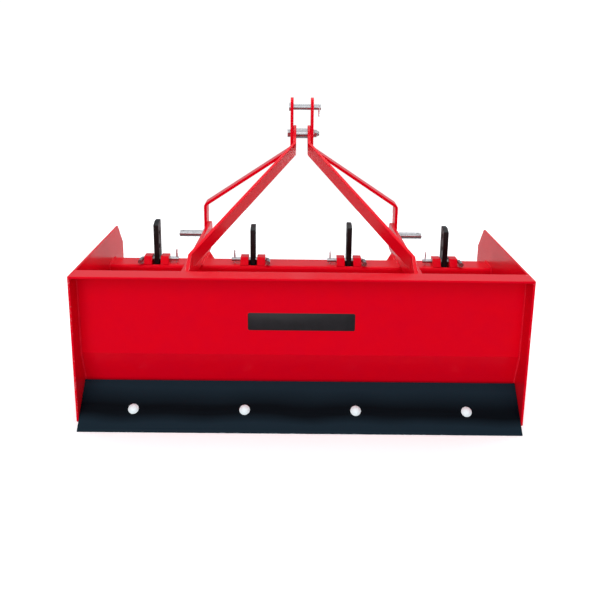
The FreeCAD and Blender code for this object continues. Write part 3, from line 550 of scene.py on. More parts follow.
@dataclass(frozen=True)
class ForgedBlack(Finish):
    """Satin black paint over forged bar, with a scaly skin and grey flecks."""

    black: tuple = (0.0022, 0.0024, 0.0028, 1.0)
    grey: tuple = (0.010, 0.0105, 0.0115, 1.0)
    specular: float = 0.22

    def dress(self, wiring: Wiring, surface: bpy.types.Node) -> None:
        """Wires the black's greyer patches, scale and gloss.

        Args:
            wiring: the material's wiring.
            surface: its Principled shader.
        """
        coat = wiring.group(Effect.COAT_TEXTURE, Peel_Scale=160.0, Peel_Height=0.9, Wave_Scale=22.0,
                            Wave_Height=0.6)
        flecks = wiring.spread(wiring.grain(wiring.here(), 240.0, 4.0, 0.7), 0.55, 0.72, 0.0, 0.7)
        colour = wiring.blend(coat.outputs["Mottle"], self.black, self.grey)
        wiring.feed(surface, "Base Color", wiring.blend(flecks, colour, self.grey))
        wiring.feed(surface, "Roughness", wiring.spread(coat.outputs["Mottle"], 0.0, 1.0, 0.30, 0.48))
        wiring.feed(surface, "Specular IOR Level", self.specular)
        self.bump(wiring, surface, coat.outputs["Height"], 0.6, 0.0008)


@dataclass(frozen=True)
class ZincPlate(Finish):
    """Bright zinc plating, cloudy in patches."""

    bright: tuple = (0.40, 0.412, 0.425, 1.0)
    dull: tuple = (0.33, 0.342, 0.352, 1.0)
    rough_low: float = 0.24
    rough_high: float = 0.34
    metal: float = 0.88

    def dress(self, wiring: Wiring, surface: bpy.types.Node) -> None:
        """Wires the plating's bloom, its gloss and its fine pits.

        Args:
            wiring: the material's wiring.
            surface: its Principled shader.
        """
        bloom = wiring.group(Effect.PLATED_BLOOM)
        cloud = bloom.outputs["Bloom"]
        wiring.feed(surface, "Base Color", wiring.blend(cloud, self.bright, self.dull))
        wiring.feed(surface, "Roughness", wiring.spread(cloud, 0.0, 1.0, self.rough_low, self.rough_high))
        wiring.feed(surface, "Metallic", self.metal)
        self.bump(wiring, surface, bloom.outputs["Height"], 0.25, 0.0002)


@dataclass(frozen=True)
class BlankDecal(Finish):
    """A plain dark vinyl label with nothing printed on it."""

    vinyl: tuple = (0.0105, 0.0095, 0.0115, 1.0)
    faded: tuple = (0.017, 0.015, 0.018, 1.0)
    specular: float = 0.2

    def dress(self, wiring: Wiring, surface: bpy.types.Node) -> None:
        """Wires the vinyl's slight fading and its soft sheen.

        Args:
            wiring: the material's wiring.
            surface: its Principled shader.
        """
        coat = wiring.group(Effect.COAT_TEXTURE, Peel_Scale=700.0, Peel_Height=0.2, Wave_Scale=30.0)
        wiring.feed(surface, "Base Color", wiring.blend(coat.outputs["Mottle"], self.vinyl, self.faded))
        wiring.feed(surface, "Roughness", wiring.spread(coat.outputs["Mottle"], 0.0, 1.0, 0.30, 0.42))
        wiring.feed(surface, "Specular IOR Level", self.specular)
        self.bump(wiring, surface, coat.outputs["Height"], 0.3, 0.0003)


@dataclass(frozen=True)
class StudioFloor(Finish):
    """A matt, nearly white floor, which gloss and light meet as a greyer one."""

    pale: tuple = (0.97, 0.97, 0.97, 1.0)
    shade: tuple = (0.95, 0.952, 0.955, 1.0)
    grey: tuple = (0.50, 0.505, 0.51, 1.0)
    glow: float = 0.3

    def dress(self, wiring: Wiring, surface: bpy.types.Node) -> None:
        """Wires the floor's very faint cloudiness, and the greyer floor that the object mirrors.

        Args:
            wiring: the material's wiring.
            surface: the shader that is looked at directly.
        """
        cloud = wiring.grain(wiring.here(), 1.3, 3.0)
        wiring.feed(surface, "Base Color", wiring.blend(cloud, self.pale, self.shade))
        wiring.feed(surface, "Roughness", wiring.spread(cloud, 0.0, 1.0, 0.80, 0.95))
        wiring.feed(surface, "Emission Color", WHITE)
        wiring.feed(surface, "Emission Strength", self.glow)
        mirrored = wiring.add("BsdfDiffuse")
        wiring.feed(mirrored, "Color", self.grey)
        wiring.show_apart(wiring.tree.nodes["Material Output"], surface, mirrored)


RED = PowderCoat("red_powder_coat", Slot.RED_PAINT)
CHIPPED_RED = PowderCoat("red_powder_coat_chipped", Slot.RED_PAINT, chipped=True)
# lighter red on the weld beads: a painted highlight on their ripples
WELD_RED_PAINTED_HIGHLIGHT = PowderCoat("red_powder_coat_on_weld_painted_highlight", Slot.RED_PAINT, red=(0.86, 0.012, 0.030, 1.0),
                      deep_red=(0.76, 0.004, 0.018, 1.0), peel_height=0.8, rough_low=0.14, rough_high=0.26)
BLADE_STEEL = EdgeSteel("blue_black_edge_paint", Slot.EDGE_STEEL)
SHANK_STEEL = ForgedBlack("black_forged_steel", Slot.SHANK_BLACK)
BRIGHT_ZINC = ZincPlate("bright_zinc", Slot.ZINC)
SPRING_ZINC = ZincPlate("spring_wire_zinc", Slot.CLIP_ZINC, bright=(0.74, 0.75, 0.77, 1.0),
                        dull=(0.62, 0.63, 0.65, 1.0), metal=0.55)
# near-white, non-metal zinc on the bolt heads: a painted reflection of the white room in the domes
ZINC_PAINTED_WHITE_REFLECTION = ZincPlate("zinc_painted_white_reflection", Slot.BOLT_ZINC, bright=(0.88, 0.98, 1.0, 1.0),
                       dull=(0.85, 0.95, 0.97, 1.0), rough_low=0.38, rough_high=0.52, metal=0.0)
DECAL_VINYL = BlankDecal("blank_decal_vinyl", Slot.RED_PAINT)
FLOOR = StudioFloor("pale_studio_floor", Slot.RED_PAINT)


class Former:
    """Gathers rings of points and the faces between them, in the box's millimetres."""

    def __init__(self) -> None:
        """Starts with no points."""
        self.points: list[Vector] = []
        self.faces: list[tuple[int, ...]] = []

    def ring(self, points: Sequence[Sequence[float]]) -> list[int]:
        """Adds a ring of points.

        Args:
            points: the points, in order round the ring.

        Returns:
            Their numbers.
        """
        start = len(self.points)
        self.points.extend(Vector(point) for point in points)
        return list(range(start, len(self.points)))

    def join(self, rings: Sequence[Sequence[int]]) -> None:
        """Lays faces from each ring to the next, all the way round.

        Args:
            rings: rings of the same length, in order.
        """
        for first, second in zip(rings, rings[1:]):
            count = len(first)
            for i in range(count):
                following = (i + 1) % count
                self.faces.append((first[i], first[following], second[following], second[i]))

    def cover(self, ring: Sequence[int]) -> None:
        """Closes a ring with one face."""
        self.faces.append(tuple(ring))

    def skin(self, rings: Sequence[Sequence[int]], closed: bool) -> None:
        """Lays faces over rings and finishes their ends.

        Args:
            rings: rings of the same length, in order.
            closed: whether the last joins the first, in place of a cover at each end.
        """
        self.join(rings)
        if closed:
            self.join((rings[-1], rings[0]))
        else:
            self.cover(list(reversed(rings[0])))
            self.cover(rings[-1])

    def turned(self, base: Sequence[float], axis: Sequence[float], rings: Rings, count: int = 32,
               closed: bool = False) -> None:
        """Makes a solid of rings about an axis, covered at both ends unless it closes on itself.

        Args:
            base: where the axis starts.
            axis: its direction.
            rings: each ring's distance along the axis and its radius, one number or one for each point.
            count: points in a ring.
            closed: whether the last ring joins the first, as in a nut round its hole.
        """
        along = Vector(axis).normalized()
        aside = along.orthogonal().normalized()
        above = along.cross(aside)
        made = []
        for distance, radius in rings:
            points = []
            for i in range(count):
                angle = math.tau * i / count
                reach = radius[i] if isinstance(radius, (list, tuple)) else radius
                far = distance[i] if isinstance(distance, (list, tuple)) else distance
                points.append(Vector(base) + along * far
                              + (aside * math.cos(angle) + above * math.sin(angle)) * reach)
            made.append(self.ring(points))
        self.skin(made, closed)

    def swept(self, path: Sequence[Vector], radius: Callable[[int], float], count: int = 8,
              closed: bool = False) -> None:
        """Sweeps a round section along a path.

        Args:
            path: points along it.
            radius: gives the radius at each point's number.
            count: points round the section.
            closed: whether the path returns to its start.
        """
        rings = []
        aside = None
        total = len(path)
        for i, point in enumerate(path):
            before = path[i - 1] if i or closed else path[0]
            after = path[(i + 1) % total] if i < total - 1 or closed else path[-1]
            along = (after - before).normalized()
            aside = along.orthogonal() if aside is None else aside - along * aside.dot(along)
            aside.normalize()
            above = along.cross(aside)
            reach = radius(i)
            turns = [math.tau * k / count for k in range(count)]
            rings.append(self.ring([
                point + (aside * math.cos(turn) + above * math.sin(turn)) * reach for turn in turns]))
        self.skin(rings, closed)

    def mesh(self, name: str, finish: Finish) -> bpy.types.Mesh:
        """Makes a mesh of the points and faces.

        Args:
            name: the mesh's name.
            finish: its surface.

        Returns:
            The mesh, in the row's metres.
        """
        mesh = bpy.data.meshes.new(name)
        mesh.from_pydata([tuple(row_point(point)) for point in self.points], [], self.faces)
        mesh.materials.append(finish.material())
        return mesh

    def piece(self, name: str, finish: Finish, replaced: Sequence[str] = (), sharp: float = 38.0) -> None:
        """Makes the object, sets it on the frame and reports it.

        Args:
            name: the piece's name.
            finish: its surface.
            replaced: CAD nodes that it stands for.
            sharp: edges that turn by more degrees than this stay sharp.
        """
        mesh = self.mesh(name, finish)
        mesh.validate()
        mesh.shade_smooth()
        mesh.set_sharp_from_angle(angle=math.radians(sharp))
        piece = add_object(name, mesh)
        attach(piece, "root")
        if replaced:
            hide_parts(*replaced)
        LOG.info("%s: %d faces", name, len(mesh.polygons))


def dress_node(name: str, finish: Finish, rounding: float = 0.0, fold: float = SHARP_TURN) -> None:
    """Gives a CAD node its finish, and softens its sharp edges where it is plate or bar.

    Args:
        name: the node.
        finish: its surface.
        rounding: width of the softened edge in mm, or 0 for none.
        fold: edges that turn by more degrees than this are softened.
    """
    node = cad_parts[name]
    if not node.material_slots:
        node.data.materials.append(finish.material())
    for slot in node.material_slots:
        slot.material = finish.material()
    if rounding:
        weld = node.modifiers.new("joined_faces", "WELD")
        weld.merge_threshold = SAME_PLACE
        flat = node.modifiers.new("whole_faces", "DECIMATE")
        flat.decimate_type = "DISSOLVE"
        flat.angle_limit = math.radians(SAME_PLANE)
        soft = node.modifiers.new("soft_edges", "BEVEL")
        soft.width = rounding * MM
        soft.segments = 2
        soft.limit_method = "ANGLE"
        soft.angle_limit = math.radians(fold)
        soft.use_clamp_overlap = False
        normals = node.modifiers.new("flat_faces", "WEIGHTED_NORMAL")
        normals.keep_sharp = False
        normals.weight = FLAT_WEIGHT
    LOG.info("%s: %s", name, finish.name)


def smooth_line(points: Sequence[Sequence[float]], steps: int = 6) -> list[Vector]:
    """Draws a smooth line through points.

    Args:
        points: the points that it passes.
        steps: points made for each span.

    Returns:
        Points along the line.
    """
    known = [Vector(point) for point in points]
    known = [known[0] * 2 - known[1], *known, known[-1] * 2 - known[-2]]
    line = []
    for i in range(1, len(known) - 2):
        for k in range(steps):
            t = k / steps
            p0, p1, p2, p3 = known[i - 1:i + 3]
            line.append(0.5 * (2 * p1 + (p2 - p0) * t + (2 * p0 - 5 * p1 + 4 * p2 - p3) * t * t
                               + (3 * p1 - p0 - 3 * p2 + p3) * t ** 3))
    line.append(known[-2])
    return line


def even_line(points: Sequence[Sequence[float]], step: float, closed: bool) -> list[Vector]:
    """Places points evenly along straight runs.

    Args:
        points: the corners of the line.
        step: the wanted spacing.
        closed: whether the line returns to its start.

    Returns:
        The evenly spaced points.
    """
    corners = [Vector(point) for point in points]
    if closed:
        corners.append(corners[0])
    marks = [0.0]
    for first, second in zip(corners, corners[1:]):
        marks.append(marks[-1] + (second - first).length)
    count = max(4, round(marks[-1] / step))
    line = []
    run = 0
    for i in range(count if closed else count + 1):
        target = marks[-1] * i / count
        while run < len(marks) - 2 and marks[run + 1] < target:
            run += 1
        share = (target - marks[run]) / max(marks[run + 1] - marks[run], 1e-9)
        line.append(corners[run].lerp(corners[run + 1], min(1.0, share)))
    return line


@dataclass
class WeldSeams:
    """Rippled weld beads laid along seams and painted with the steel's red, made lighter than the plates as
    a painted highlight.
    """

    radius: float = 4.3
    ripple: float = 5.4
    step: float = 1.2
    swell: float = 0.46
    wander: float = 0.35

    def lay(self, name: str, seams: Sequence[Sequence[Point]], closed: bool = False, seed: int = 1) -> None:
        """Lays beads along seams as one piece.

        Args:
            name: the piece's name.
            seams: each seam's corners.
            closed: whether each seam returns to its start.
            seed: start of the beads' small irregularities.
        """
        chance = random.Random(seed)
        former = Former()
        for seam in seams:
            line = even_line(seam, self.step, closed)
            last = len(line) - 1
            radii = []
            drift = Vector((0.0, 0.0, 0.0))
            for i, point in enumerate(line):
                wave = abs(math.sin(math.pi * i * self.step / self.ripple))
                end = 1.0 if closed else min(1.0, 0.35 + 0.25 * min(i, last - i))
                rough = chance.uniform(-0.04, 0.04)
                radii.append(self.radius * end * (1 - self.swell + self.swell * wave + rough))
                drift = drift * 0.8 + Vector([chance.uniform(-1, 1) for _ in range(3)]) * self.wander * 0.3
                point += drift * end
            former.swept(line, radii.__getitem__, 7, closed)
        former.piece(name, WELD_RED_PAINTED_HIGHLIGHT, sharp=80.0)


@dataclass(frozen=True)
class HexHead:
    """A bolt head or nut with chamfered corners."""

    flats: float
    high: float
    hole: float = 0.0
    count: int = 48

    def rings(self, start: float) -> Rings:
        """Gives the rings that make it.

        Args:
            start: where its lower face lies along the axis.

        Returns:
            Each ring's distance along the axis and its radius.
        """
        sixth = math.tau / 6
        corner = []
        for i in range(self.count):
            angle = (math.tau * i / self.count) % sixth - sixth / 2
            corner.append(self.flats / 2 / math.cos(angle))
        crown = self.flats / 2 * 0.97
        low = [start + (reach - crown) * 0.5 for reach in corner]
        top = [start + self.high - (reach - crown) * 0.5 for reach in corner]
        rings = [(start, crown), (low, corner), (top, corner), (start + self.high, crown)]
        if self.hole:
            inner = self.hole / 2
            bevel = 1.0
            rings += [(start + self.high, inner + bevel), (start + self.high - bevel, inner),
                      (start + bevel, inner), (start, inner + bevel)]
        return rings


@dataclass(frozen=True)
class Washer:
    """A flat ring with softened outer edges."""

    radius: float
    thick: float
    hole: float
    bevel: float
    bevel_high: float = 0.3

    def rings(self, start: float) -> Rings:
        """Gives the rings that make it.

        Args:
            start: where its lower face lies along the axis.

        Returns:
            Each ring's distance along the axis and its radius.
        """
        end = start + self.thick
        return [(start, self.radius - self.bevel), (start + self.bevel_high, self.radius),
                (end - self.bevel_high, self.radius), (end, self.radius - self.bevel),
                (end, self.hole / 2), (start, self.hole / 2)]


def thread_rings(start: float, end: float, radius: float, pitch: float) -> Rings:
    """Gives the rings of a threaded end with a chamfered tip.

    Args:
        start: where the thread starts along the axis.
        end: where the tip is.
        radius: the thread's outer radius.
        pitch: the distance between crests.

    Returns:
        Each ring's distance along the axis and its radius.
    """
    way = 1 if end > start else -1
    deep = pitch * 0.55
    crests = int((abs(end - start) - pitch) / pitch)
    rings = [(start, radius)]
    for i in range(crests):
        rings.append((start + way * pitch * (i + 0.55), radius - deep))
        rings.append((start + way * pitch * (i + 1.0), radius))
    rings.append((end - way * deep * 0.9, radius - 0.2))
    rings.append((end, radius - deep * 1.2))
    return rings


@dataclass
class BoxShell:
    """The welded steel box: side plates, moldboard, curved front plate and toolbar."""

    half_width: float = 603.5
    lip_top: float = 430.0
    lip_under: float = 424.0
    face: float = 60.0
    back: float = 66.0
    fold_high: float = 192.0
    curve_face: float = 72.3
    curve_top: float = 340.0
    curve_radius: float = 238.0
    front_toe: float = 250.0
    bar_rear: float = 412.0
    bar_front: float = 502.0
    bar_low: float = 247.0
    bar_top: float = 337.0
    bar_round: float = 11.0
    decal_wide: float = 292.0
    decal_high: float = 50.0
    decal_round: float = 5.0
    decal_middle: tuple = (1.0, 288.0)

    def build(self, welds: WeldSeams) -> None:
        """Dresses the box's plates and lays its welds and its blank decal.

        Args:
            welds: how beads are laid.
        """
        for word, _ in SIDES:
            dress_node("side_plate_" + word, CHIPPED_RED, 0.7)
        dress_node("moldboard", RED, 0.9, 12.0)
        dress_node("front_curve_plate", RED, 0.9)
        dress_node("toolbar", RED, 0.8)
        for number, (word, side) in enumerate(SIDES):
            self.weld_side(word, side, welds, number * 10)
        self.decal()

    def weld_side(self, word: str, side: int, welds: WeldSeams, seed: int) -> None:
        """Lays the beads that hold the sheets and the toolbar to one side plate.

        Args:
            word: the side's name.
            side: -1 for the left and 1 for the right.
            welds: how beads are laid.
            seed: start of their irregularities.
        """
        x = self.half_width * side
        foot = slope_point((-28.0, 0.0), 43.0, 153.0, -12.0)
        rear = [(x, 3.0, self.lip_under - 1), (x, self.face - 4, self.lip_under - 1),
                (x, self.face, self.lip_under - 5), (x, self.face, self.fold_high),
                (x, foot[0] - 1, foot[1] + 3)]
        front = [(x, self.back, self.lip_top - 8), (x, self.back, self.curve_top + 3)]
        welds.lay("weld_moldboard_" + word, [rear, front], seed=seed + 1)
        bend_high = (self.front_toe - self.curve_face) + self.curve_radius * math.tan(math.radians(22.5))
        curve = [(x, self.curve_face, self.curve_top - 2), (x, self.curve_face, bend_high)]
        for i in range(1, 10):
            turn = math.radians(5.0 * i)
            curve.append((x, self.curve_face + self.curve_radius * (1 - math.cos(turn)),
                          bend_high - self.curve_radius * math.sin(turn)))
        welds.lay("weld_front_curve_" + word, [curve], seed=seed + 2)
        middle = ((self.bar_front + self.bar_rear) / 2, (self.bar_top + self.bar_low) / 2)
        half = ((self.bar_front - self.bar_rear) / 2, (self.bar_top - self.bar_low) / 2)
        ring = [(x, y, z) for y, z in rounded_outline(middle, half, self.bar_round, 4)]
        welds.lay("weld_toolbar_" + word, [ring], closed=True, seed=seed + 3)

    def decal(self) -> None:
        """Lays a plain dark label with rounded corners on the moldboard's rear face."""
        former = Former()
        rings = []
        for out, inset in ((0.0, 0.0), (0.25, 0.0), (0.35, 0.15)):
            half = (self.decal_wide / 2 - inset, self.decal_high / 2 - inset)
            outline = rounded_outline(self.decal_middle, half, self.decal_round, 5)
            rings.append(former.ring([(x, self.face - out, z) for x, z in outline]))
        former.join(rings)
        former.cover(rings[-1])
        former.piece("blank_decal", DECAL_VINYL)


@dataclass
class CuttingEdges:
    """The bolted cutting edges at the rear and front, with their domed bolts."""

    rear_tip: tuple = (-28.0, 0.0)
    rear_slope: float = 43.0
    front_tip: tuple = (250.0, 0.0)
    front_slope: float = 45.0
    thick: float = 12.0
    sheet: float = 6.0
    bolt_up: float = 66.0
    pitch: float = 305.0
    bolt_radius: float = 8.0
    head_radius: float = 14.5
    head_high: float = 8.0
    nut: HexHead = HexHead(24.0, 13.0)
    thread_past: float = 5.0

    def build(self) -> None:
        """Dresses both edges and builds their bolts."""
        dress_node("rear_cutting_edge", BLADE_STEEL, 1.0)
        dress_node("front_cutting_edge", BLADE_STEEL, 1.0)
        rear = slope_point(self.rear_tip, self.rear_slope, self.bolt_up, 0.0)
        turn = math.radians(self.rear_slope)
        self.bolts("rear_edge_hardware", rear, (0.0, -math.sin(turn), math.cos(turn)), "rear_edge_bolts")
        front = slope_point(self.front_tip, 180.0 - self.front_slope, self.bolt_up, -self.thick)
        turn = math.radians(self.front_slope)
        self.bolts("front_edge_hardware", front, (0.0, math.sin(turn), math.cos(turn)), "front_edge_bolts")

    def bolts(self, name: str, seat: tuple[float, float], axis: Point, node: str) -> None:
        """Builds four domed bolts with their nuts as one piece.

        Args:
            name: the piece's name.
            seat: y and z where a head sits on the edge.
            axis: the way the head looks.
            node: the CAD node that it stands for.
        """
        former = Former()
        grip = self.thick + self.sheet
        dome = (self.head_radius ** 2 + self.head_high ** 2) / (2 * self.head_high)
        crown = [(0.0, self.head_radius - 0.4), (0.5, self.head_radius)]
        for k in range(1, 10):
            reach = self.head_radius * (1 - k / 9)
            high = math.sqrt(dome ** 2 - reach ** 2) - (dome - self.head_high)
            crown.append((max(high, 0.6 + 0.1 * k), max(reach, 0.4)))
        for i in range(4):
            base = (self.pitch * (i - 1.5), seat[0], seat[1])
            former.turned(base, axis, crown, 40)
            former.turned(base, axis, [(-0.2, self.bolt_radius), (-grip, self.bolt_radius)])
            former.turned(base, axis, self.nut.rings(-grip - self.nut.high), self.nut.count)
            tip = -grip - self.nut.high - self.thread_past
            former.turned(base, axis, thread_rings(-grip - self.nut.high + 1, tip, self.bolt_radius, 2.0))
        former.piece(name, ZINC_PAINTED_WHITE_REFLECTION, [node])


@dataclass
class SpringClip:
    """A bent wire retaining clip: a straight leg, an eye, and a leg that hugs the pin."""

    wire: float = 1.8
    leg_down: float = -10.0
    eye_high: float = 25.0
    eye_forward: float = 5.2
    eye_radius: float = 4.7

    def build(self, name: str, middle: Point, way: int, node: str) -> None:
        """Builds one clip.

        Args:
            name: the piece's name.
            middle: where the pin's axis passes the straight leg.
            way: 1 with the eye up, -1 with the eye down.
            node: the CAD node that it stands for.
        """
        flat = [(0.0, self.leg_down), (0.0, 2.0), (0.0, self.eye_high - 8)]
        for k in range(9):
            turn = math.radians(200 - 40 * k)
            flat.append((self.eye_forward + self.eye_radius * math.cos(turn),
                         self.eye_high + self.eye_radius * math.sin(turn)))
        flat += [(3.6, 17.0), (5.8, 12.0), (9.0, 6.0), (9.6, 1.0), (8.0, -4.0), (9.0, -6.5), (11.5, -8.5)]
        drift = 2.6 / len(flat)
        path = [(middle[0] + (i * drift if i > 3 else 0.0), middle[1] + way * y, middle[2] + way * z)
                for i, (y, z) in enumerate(flat)]
        former = Former()
        former.swept(smooth_line(path, 5), lambda _: self.wire, 10)
        former.piece(name, SPRING_ZINC, [node], sharp=60.0)


@dataclass
class RipperRow:
    """The four ripper shanks in their holders, with points, pins and clips."""

    pitch: float = 305.0
    bar_top: float = 337.0
    holder_half: float = 39.0
    slot_half: float = 13.5
    holder_rear: float = 417.0
    holder_front: float = 463.0
    pin_forward: float = 448.0
    pin_high: float = 349.0
    clip_at: float = 60.0
    handle_sides: tuple = (-1, 1, 1, 1)
    bend_high: float = 205.0
    shank_front: float = 482.0
    dip: float = 35.0
    roll_pin_along: float = 86.0
    point_half: float = 17.0

    def build(self, clip: SpringClip) -> None:
        """Dresses the row and adds its welds, clips and roll pins.

        Args:
            clip: the wire clip on each pin.
        """
        for i in range(4):
            number = i + 1
            x = self.pitch * (i - 1.5)
            dress_node("shank_holder_%d" % number, RED, 0.9)
            dress_node("ripper_shank_%d" % number, SHANK_STEEL, 2.4)
            dress_node("ripper_point_%d" % number, SHANK_STEEL, 1.2)
            dress_node("shank_pin_%d" % number, BRIGHT_ZINC)
            self.weld_holder(number, x)
            clip_x = x - self.clip_at * self.handle_sides[i]
            clip.build("spring_clip_%d" % number, (clip_x, self.pin_forward, self.pin_high), 1,
                       "pin_clip_%d" % number)
            self.roll_pin(number, x)

    def weld_holder(self, number: int, x: float) -> None:
        """Lays finer beads round a holder's two feet.

        Args:
            number: which holder.
            x: its middle.
        """
        seams = []
        for side in (-1, 1):
            inner, outer = x + (self.slot_half + 2) * side, x + self.holder_half * side
            corners = ((inner, self.holder_rear + 6), (outer, self.holder_rear + 6),
                       (outer, self.holder_front), (inner, self.holder_front))
            seams.append([(*corner, self.bar_top) for corner in corners])
        WeldSeams(radius=2.6).lay("weld_holder_%d" % number, seams, seed=40 + number)

    def roll_pin(self, number: int, x: float) -> None:
        """Builds the rolled spring pin that holds a point on its shank.

        Args:
            number: which point.
            x: its middle.
        """
        turn = math.radians(self.dip)
        along, under = self.roll_pin_along, 25.0
        y = self.shank_front + math.cos(turn) * along - math.sin(turn) * under
        z = self.bend_high - math.sin(turn) * along - math.cos(turn) * under
        former = Former()
        half = self.point_half + 1.2
        former.turned((x - half, y, z), (1, 0, 0), [
            (0.0, 2.0), (0.0, 3.1), (0.8, 3.9), (half * 2 - 0.8, 3.9), (half * 2, 3.1), (half * 2, 2.0),
            (half * 2 - 4, 2.0), (4.0, 2.0)], 20, closed=True)
        former.piece("roll_pin_%d" % number, BRIGHT_ZINC)


@dataclass
class HitchFrame:
    """The three-point hitch frame: plates, gussets, mast bars and braces, with pins and bolts."""

    plate_inside: float = 313.0
    plate_outside: float = 325.0
    mold_back: float = 66.0
    rear_low: float = 384.0
    rear_top: float = 426.0
    front_top: float = 410.0
    bar_rear: float = 412.0
    bar_front: float = 502.0
    bar_top: float = 337.0
    heel: float = 262.0
    mast_rear: float = 671.0
    middle: float = 703.0
    gusset_top: float = 324.0
    low_pin_high: float = 366.0
    top_pin_high: float = 811.0
    bolt_high: float = 722.0
    ear: float = 39.0
    brace_slope: float = 27.0
    brace_half: float = 25.0
    low_washer: Washer = Washer(16.6, 3.2, 19.8, 0.4)
    low_nut: HexHead = HexHead(30.0, 12.8, 19.6)
    bolt_radius: float = 8.0
    bolt_head: HexHead = HexHead(24.0, 10.0)
    bolt_washer: Washer = Washer(13.9, 2.6, 16.4, 0.3)
    lock_nut: HexHead = HexHead(24.0, 9.0)
    lock_collar: tuple = ((11.4, 10.9), (13.0, 10.7), (14.0, 9.6))
    bolt_past: float = 20.0

    def build(self, welds: WeldSeams, clip: SpringClip) -> None:
        """Dresses the frame and adds its welds, nuts and bolts.

        Args:
            welds: how beads are laid.
            clip: the wire clip on the top link pin.
        """
        for number, (word, side) in enumerate(SIDES):
            dress_node("hitch_plate_" + word, RED, 1.2)
            dress_node("hitch_gusset_" + word, RED, 1.0)
            dress_node("mast_bar_" + word, RED, 1.6)
            dress_node("brace_" + word, RED, 1.6)
            dress_node("lower_hitch_pin_" + word, BRIGHT_ZINC)
            self.lower_nut(word, side)
            self.weld_side(word, side, welds, 60 + number * 10)
        dress_node("top_link_pin", BRIGHT_ZINC)
        dress_node("mast_spacer", BRIGHT_ZINC)
        clip.build("top_spring_clip", (56.0, self.middle, self.top_pin_high), -1, "top_pin_clip")
        self.mast_bolt()

    def plate_top(self, y: float) -> float:
        """Gives the height of a hitch plate's top edge at a place along the box."""
        share = (y - self.mold_back) / (self.mast_rear - self.mold_back)
        return self.rear_top + (self.front_top - self.rear_top) * share

    def weld_side(self, word: str, side: int, welds: WeldSeams, seed: int) -> None:
        """Lays the beads of one hitch plate, its gusset and its brace.

        Args:
            word: the side's name.
            side: -1 for the left and 1 for the right.
            welds: how beads are laid.
            seed: start of their irregularities.
        """
        seams = []
        for x in (self.plate_inside * side, self.plate_outside * side):
            seams.append([(x, self.mold_back, self.rear_top - 2), (x, self.mold_back, self.rear_low + 2)])
            seams.append([(x, self.bar_rear + 3, self.bar_top), (x, self.bar_front - 3, self.bar_top)])
            seams.append([(x, self.bar_front, self.bar_top - 12), (x, self.bar_front, self.heel + 3)])
        welds.lay("weld_hitch_plate_" + word, seams, seed=seed)
        x = self.plate_inside * side
        gusset = []
        for first, last in (((0, 4), (0, 112)), ((4, 0), (34, 0))):
            gusset.append([(x - inward * side, self.bar_front + forward, self.gusset_top)
                           for inward, forward in (first, last)])
        welds.lay("weld_gusset_" + word, gusset, seed=seed + 1)
        top = [(x, y, self.plate_top(y) + 0.5) for y in (84.0, 150.0)]
        under = []
        for t in (-692.0, -640.0):
            y, z = slope_point((self.middle, self.bolt_high), self.brace_slope, t, -self.brace_half)
            under.append((x, y, z))
        welds.lay("weld_brace_" + word, [top, under], seed=seed + 2)

    def lower_nut(self, word: str, side: int) -> None:
        """Builds the washer and nut that hold a lower pin, on a hitch plate's inner face.

        Args:
            word: the side's name.
            side: -1 for the left and 1 for the right.
        """
        former = Former()
        base = (self.plate_inside * side, self.middle, self.low_pin_high)
        inward = (-side, 0, 0)
        former.turned(base, inward, self.low_washer.rings(0.0), 40, closed=True)
        nut = self.low_nut
        former.turned(base, inward, nut.rings(self.low_washer.thick), nut.count, closed=True)
        former.piece("lower_nut_detail_" + word, BRIGHT_ZINC, ["lower_pin_nut_" + word])

    def mast_bolt(self) -> None:
        """Builds the mast bolt with its chamfered head, washers, lock nut and thread."""
        former = Former()
        base = (0.0, self.middle, self.bolt_high)
        along = (1, 0, 0)
        head, washer, nut = self.bolt_head, self.bolt_washer, self.lock_nut
        former.turned(base, along, head.rings(-self.ear - head.high), head.count)
        former.turned(base, along, [(-self.ear, self.bolt_radius), (self.ear + 12.0, self.bolt_radius)])
        former.turned(base, along, washer.rings(self.ear), 40, closed=True)
        former.turned(base, along, nut.rings(self.ear + washer.thick), nut.count)
        former.turned(base, along, [(self.ear + far, reach) for far, reach in self.lock_collar], 40)
        thread = thread_rings(self.ear + 13.0, self.ear + self.bolt_past, self.bolt_radius, 2.0)
        former.turned(base, along, thread)
        former.piece("mast_bolt_detail", BRIGHT_ZINC, ["mast_bolt"])


@dataclass(frozen=True)
class Lamp:
    """A square soft light: where it hangs and what it faces in the row's metres, its side and its watts."""

    name: str
    place: Point
    aim: Point
    size: float
    power: float

    def hang(self) -> None:
        """Adds the light, out of the camera's sight."""
        data = bpy.data.lights.new(self.name, "AREA")
        data.shape = "SQUARE"
        data.size = self.size
        data.energy = self.power
        lamp = add_object(self.name, data)
        lamp.visible_camera = False
        way = (Vector(self.aim) - Vector(self.place)).to_track_quat("-Z", "Y").to_matrix().to_4x4()
        lamp.matrix_world = Matrix.Translation(Vector(self.place)) @ way


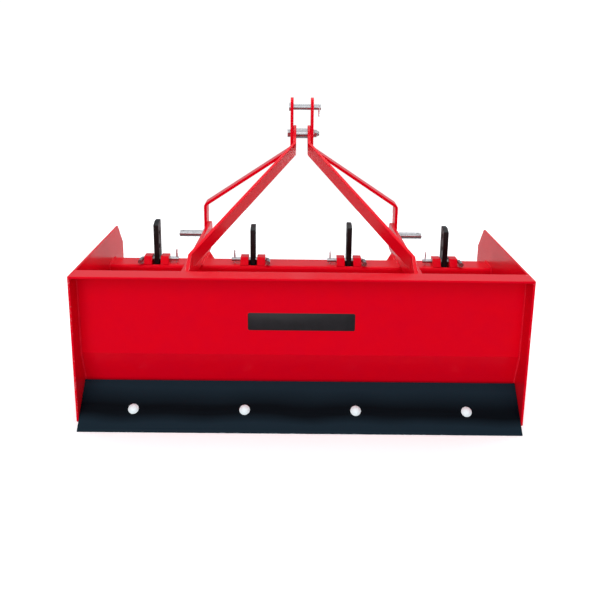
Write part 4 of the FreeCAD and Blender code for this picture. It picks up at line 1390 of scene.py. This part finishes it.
@dataclass
class Studio:
    """The pale floor, the soft lights and the camera."""

    lens: float = 45.14
    place: tuple = (-16.9, -1861.2, 1037.0)
    pitch: float = 0.2474
    yaw: float = -0.0056
    roll: float = 0.0120
    shift: float = -0.12
    floor_size: float = 2.7
    floor_rings: tuple = (0.4, 0.9, 1.5, 2.1)
    floor_high: float = -0.4
    room_colour: tuple = (0.90, 0.93, 1.0, 1.0)
    room_light: float = 0.42
    white_light: float = 1.05
    lamps: tuple = (
        Lamp("overhead_softbox", (0.0, 0.3, 4.2), (0.0, 0.301, 0.0), 4.6, 92.0),
        Lamp("rear_fill", (-0.9, -4.8, 2.3), (0.0, -0.2, 0.25), 5.2, 178.0),
        Lamp("front_fill", (0.5, 2.6, 3.7), (0.0, 0.2, 0.45), 1.6, 14.0),
        Lamp("right_wall", (4.2, 3.2, 0.1), (0.0, 0.2, 0.5), 4.2, 330.0),
        Lamp("left_wall", (-4.2, 3.2, 0.1), (0.0, 0.2, 0.5), 4.2, 190.0),
    )

    def build(self) -> None:
        """Sets up the camera, the floor and the lights."""
        self.camera()
        self.floor()
        self.sky()
        for lamp in self.lamps:
            lamp.hang()

    def camera(self) -> None:
        """Sets the camera where the photograph was taken from."""
        data = bpy.data.cameras.new("photo_camera")
        data.lens = self.lens
        data.sensor_width = 36.0
        data.shift_y = self.shift
        data.clip_end = 100.0
        camera = add_object("photo_camera", data)
        turn = (Matrix.Rotation(self.yaw, 4, "Z") @ Matrix.Rotation(math.pi / 2 - self.pitch, 4, "X")
                @ Matrix.Rotation(self.roll, 4, "Z"))
        camera.matrix_world = Matrix.Translation(row_point(self.place)) @ turn
        bpy.context.scene.camera = camera

    def floor(self) -> None:
        """Lays the floor as a fine round sheet."""
        former = Former()
        rings = []
        turns = [math.tau * k / 64 for k in range(64)]
        for reach in (*self.floor_rings, self.floor_size):
            wide = reach / MM
            rings.append(former.ring([
                (wide * math.cos(turn), wide * math.sin(turn), self.floor_high) for turn in turns]))
        former.join(rings)
        former.cover(rings[0])
        add_object("studio_floor", former.mesh("studio_floor", FLOOR))

    def sky(self) -> None:
        """Fills the room with plain light, white behind the object."""
        world = bpy.data.worlds.new("studio_room")
        bpy.context.scene.world = world
        world.use_nodes = True
        wiring = Wiring(world.node_tree)
        room = world.node_tree.nodes["Background"]
        behind = wiring.add("Background")
        for node, colour, strength in ((room, self.room_colour, self.room_light),
                                       (behind, WHITE, self.white_light)):
            wiring.feed(node, "Color", colour)
            wiring.feed(node, "Strength", strength)
        wiring.show_apart(world.node_tree.nodes["World Output"], behind, room)


def main() -> None:
    """Builds the studio and dresses every sub-assembly in order."""
    logging.basicConfig(level=logging.INFO, format="%(name)s: %(message)s")
    bpy.context.scene.view_settings.view_transform = "Standard"
    welds = WeldSeams()
    clip = SpringClip()
    Studio().build()
    BoxShell().build(welds)
    CuttingEdges().build()
    RipperRow().build(clip)
    HitchFrame().build(welds, clip)


if __name__ == "__main__":
    main()
